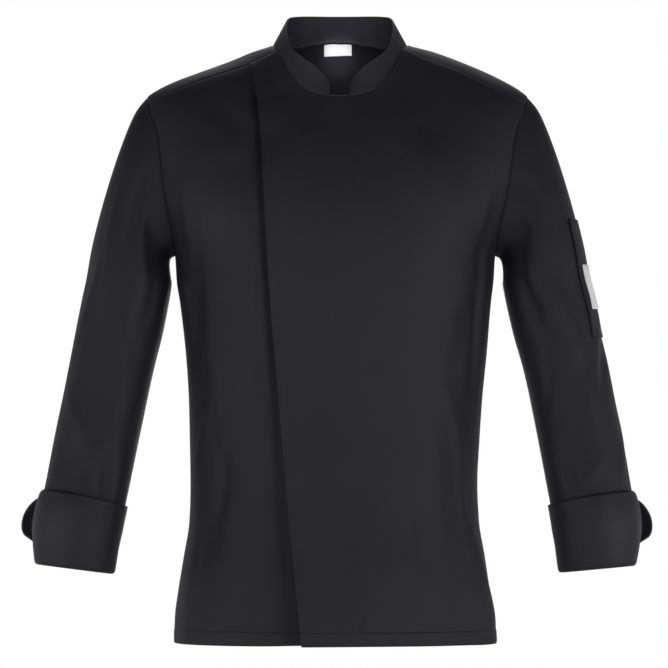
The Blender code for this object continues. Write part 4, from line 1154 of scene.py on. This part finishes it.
rowMarks = np.linspace(*neckLabelFacts["rows"], 20)
across = neckLabelFacts["middle"] + np.linspace(-0.5, 0.5, 24) * neckLabelFacts["width"]
near = lastColumn // 2 + np.arange(-5, 6)
columns = np.array([np.interp(across, readGrid(yokePoints, row, near)[:, 0], near)
                    for row in rowMarks])
labelPoints = readGrid(yokePoints, rowMarks[:, None], columns)
labelNormals = unit(np.cross(*[np.gradient(labelPoints, axis=axis) for axis in (1, 0)]))
if labelNormals[..., 1].mean() < 0:
    labelNormals = -labelNormals
labelPoints = labelPoints - labelNormals * (cloth["wall"] + cloth["layGap"])
neckLabel = makeCloth("neckLabel", labelPoints, labelFacing, cloth["label"],
                      looks["labelCloth"], ["neck_label"])
print("pocket and labels made")


def runs(surface, outward, lines):  # stitches from one (row, column) to another
    share = np.linspace(0, 1, 80)
    return [stitchLine(surface, row + (endRow - row) * share,
                       column + (endColumn - column) * share, outward)
            for (row, column), (endRow, endColumn) in lines]


def besideRow(surface, columns, distance, edge, inner):  # stitches beside a row of the grid
    width = np.linalg.norm(surface(inner, columns) - surface(edge, columns), axis=-1)
    return stitchLine(surface, edge + (inner - edge) * distance / width, columns, fromAxis)


def besideColumn(surface, rows, distance, edge, inner):
    width = np.linalg.norm(surface(rows, inner) - surface(rows, edge), axis=-1)
    return stitchLine(surface, rows, edge + (inner - edge) * distance / width, fromAxis)


sewing = {}
armRows = np.linspace(14.15, 20.93, 60)
outerLast, underLast, backLast = [grid.shape[1] - 1 for grid in (outerGrid, underGrid, backGrid)]
edgeLine = ((0.62, edgeStitch["column"]), (20.9, edgeStitch["column"]))
for name, surface, hemEnds, lines, arms in (
        ("underStitches", underSurface, (0.15, underLast - 0.15), [], ((0, 1),)),
        ("outerStitches", outerSurface, (0.1, outerLast - 0.15), [edgeLine],
         ((outerLast, outerLast - 1),)),
        ("backStitches", backSurface, (0.1, backLast - 0.1), [],
         ((0, 1), (backLast, backLast - 1)))):
    hemLine = tuple((hemFacts["row"], column) for column in hemEnds)
    sewing[name] = runs(surface, fromAxis, [hemLine] + lines)
    sewing[name] += [besideColumn(surface, armRows, 5, *edges) for edges in arms]
seamRows = np.linspace(0.15, lastRow - 0.2, 60)
sewing["yokeStitches"] = [besideColumn(yokeSurface, seamRows, 2, *edges)
                          for edges in ((0, 1), (lastColumn, lastColumn - 1))]
for first, last, count, distance in ((4.1, lastColumn - 4.1, 90, 2), (0.2, 3.9, 30, 5),
                                     (lastColumn - 3.9, lastColumn - 0.2, 30, 5)):
    columns = np.linspace(first, last, count)
    sewing["yokeStitches"].append(besideRow(yokeSurface, columns, distance, lastRow, lastRow - 1))
collarLast = collarGrid.shape[1] - 1
endRows, longColumns = np.linspace(0.3, 3.7, 20), np.linspace(0.8, collarLast - 0.8, 160)
sewing["collarStitches"] = [
    besideRow(collarSurface, longColumns, 2, 4, 3),
    besideRow(collarSurface, longColumns, 2.2, 0, 1),
    besideColumn(collarSurface, endRows, 2, 0, 2),
    besideColumn(collarSurface, endRows, 2, collarLast, collarLast - 2),
]


for side, name in ((-1, "rightCuffStitches"), (1, "leftCuffStitches")):
    high, wide = cuffGrids[side].shape[0] - 3, cuffGrids[side].shape[1] - 1
    folded, rear, front = high - 29, 3.7, wide - 3.7
    sewing[name] = runs(partial(readGrid, cuffGrids[side]), awayFromArm(side), [
        ((high, rear), (high, front)), ((folded, rear), (high, rear)),
        ((folded, front), (high, front))])


def boxed(points, distance, outward, tops):  # round the sides and foot, and lines near the top
    tall, wide = [np.linalg.norm(np.diff(points, axis=axis), axis=-1).mean() for axis in (0, 1)]
    high, left = distance / tall, distance / wide
    low, right = points.shape[0] - 1 - high, points.shape[1] - 1 - left
    lines = [((low, left), (low, right))]
    lines += [((high, column), (low, column)) for column in (left, right)]
    lines += [((top / tall, left), (top / tall, right)) for top in tops]
    return runs(partial(readGrid, points), outward, lines)


sewing["pocketStitches"] = boxed(pocketPoints, 2, awayFromArm(1), (2, 8))
sewing["sleeveLabelStitches"] = boxed(sleeveLabelPoints, 1.5, awayFromArm(1), (1.5,))
sewing["neckLabelStitches"] = boxed(labelPoints, 1.5, labelFacing, (1.5,))
for name, lines in sewing.items():
    thread = "labelThread" if "Label" in name else "jacketThread"
    makeStitches(name, lines, looks[thread])
print("stitches made")


stage = {
    "eye": (-0.0019, -3.6, -0.3658), "viewWidth": 0.8484, "sensor": 36, "distance": 3.6,
    "floor": -1.45, "floorRadius": 5.4, "floorGlow": 0.95, "pale": (0.86, 0.86, 0.86, 1),
    "white": (1, 1, 1, 1),
}
camera = bpy.data.objects.new("camera", bpy.data.cameras.new("camera"))
camera.location = stage["eye"]
camera.rotation_euler = (math.pi / 2, 0, 0)
camera.data.sensor_width = stage["sensor"]
camera.data.lens = stage["sensor"] * stage["distance"] / stage["viewWidth"]
camera.data.clip_end = 60
bpy.context.collection.objects.link(camera)
bpy.context.scene.camera = camera


def cameraSees(tree, end, seen, others):  # one shader for the camera, another for the light
    ray = tree.nodes.new("ShaderNodeLightPath").outputs["Is Camera Ray"]
    sockets = {0: ray, 1: others.outputs[0], 2: seen.outputs[0]}
    either = addNode(tree, "ShaderNodeMixShader", sockets)
    fill(tree, tree.nodes[end], {"Surface": either.outputs[0]})


pale, tree, shader = newLook("paleFloor")
fill(tree, shader, {"Base Color": stage["pale"], "Roughness": 0.9})
glow = addNode(tree, "ShaderNodeEmission", {"Strength": stage["floorGlow"]})
cameraSees(tree, "Material Output", glow, shader)
bm = bmesh.new()
bmesh.ops.create_circle(bm, cap_ends=True, segments=96, radius=stage["floorRadius"])
bmesh.ops.translate(bm, vec=(0, 0, stage["floor"]), verts=bm.verts)
objectOf("floor", bm, pale)

world = bpy.data.worlds.new("studio")
world.use_nodes = True
tree = world.node_tree
heading = tree.nodes.new("ShaderNodeTexCoord").outputs["Generated"]
parts = addNode(tree, "ShaderNodeSeparateXYZ", {0: heading})
sky = addNode(tree, "ShaderNodeMapRange", {"Value": parts.outputs["Z"], "From Min": -0.15,
                                           "From Max": 0.55, "To Min": 0.72, "To Max": 0.07})
room = fill(tree, tree.nodes["Background"], {"Color": stage["white"],
                                             "Strength": sky.outputs["Result"]})
backdrop = addNode(tree, "ShaderNodeBackground", {"Color": stage["white"]})
cameraSees(tree, "World Output", backdrop, room)
bpy.context.scene.world = world
bpy.context.scene.view_settings.view_transform = "Standard"


def addLamp(name, kind, place, target, power):
    light = bpy.data.lights.new(name, kind)
    light.energy = power
    lamp = bpy.data.objects.new(name, light)
    lamp.location = place
    lamp.rotation_euler = (Vector(target) - Vector(place)).to_track_quat("-Z", "Y").to_euler()
    bpy.context.collection.objects.link(lamp)
    return light


softboxes = (  # name, place, size, power, aimed at height
    ("keyLight", (2.5, -2.1, -0.9), 1.5, 37, -0.42),
    ("fillLight", (-2.5, -2.1, -0.9), 1.5, 29, -0.42),
    ("frontLight", (0.2, -3.4, -0.8), 1.4, 10, -0.45),
    ("rightRim", (-2.4, 0.9, -0.4), 1.2, 2, -0.4),
    ("leftRim", (2.4, 0.9, -0.4), 1.2, 2, -0.4),
    ("yokeLight", (0, 1.6, 1.5), 1.2, 20, -0.1),
    ("backLight", (0.2, 3.4, -0.4), 1.2, 16, -0.42),
)
for name, place, size, power, aim in softboxes:
    addLamp(name, "AREA", place, (0, 0, aim), power).size = size
spots = (  # name, place, aimed at, power, cone in degrees, radius
    ("neckSpot", (0, -3.3, 0.25), (0.006, 0, -0.005), 290, 2.8, 0.06),
    ("labelSpot", (0, -3.3, 0.25), (0.0032, 0, -0.001), 400, 0.95, 0.008),
    ("rightTabSpot", (-0.25, -3.4, -0.65), (-0.407, 0, -0.604), 1500, 1.15, 0.06),
    ("leftTabSpot", (0.25, -3.4, -0.65), (0.411, 0, -0.604), 1500, 1.15, 0.06),
)
for name, place, target, power, cone, radius in spots:
    spot = addLamp(name, "SPOT", place, target, power)
    spot.spot_size, spot.spot_blend, spot.shadow_soft_size = math.radians(cone), 1, radius
print("stage set")

bpy.context.view_layer.update()
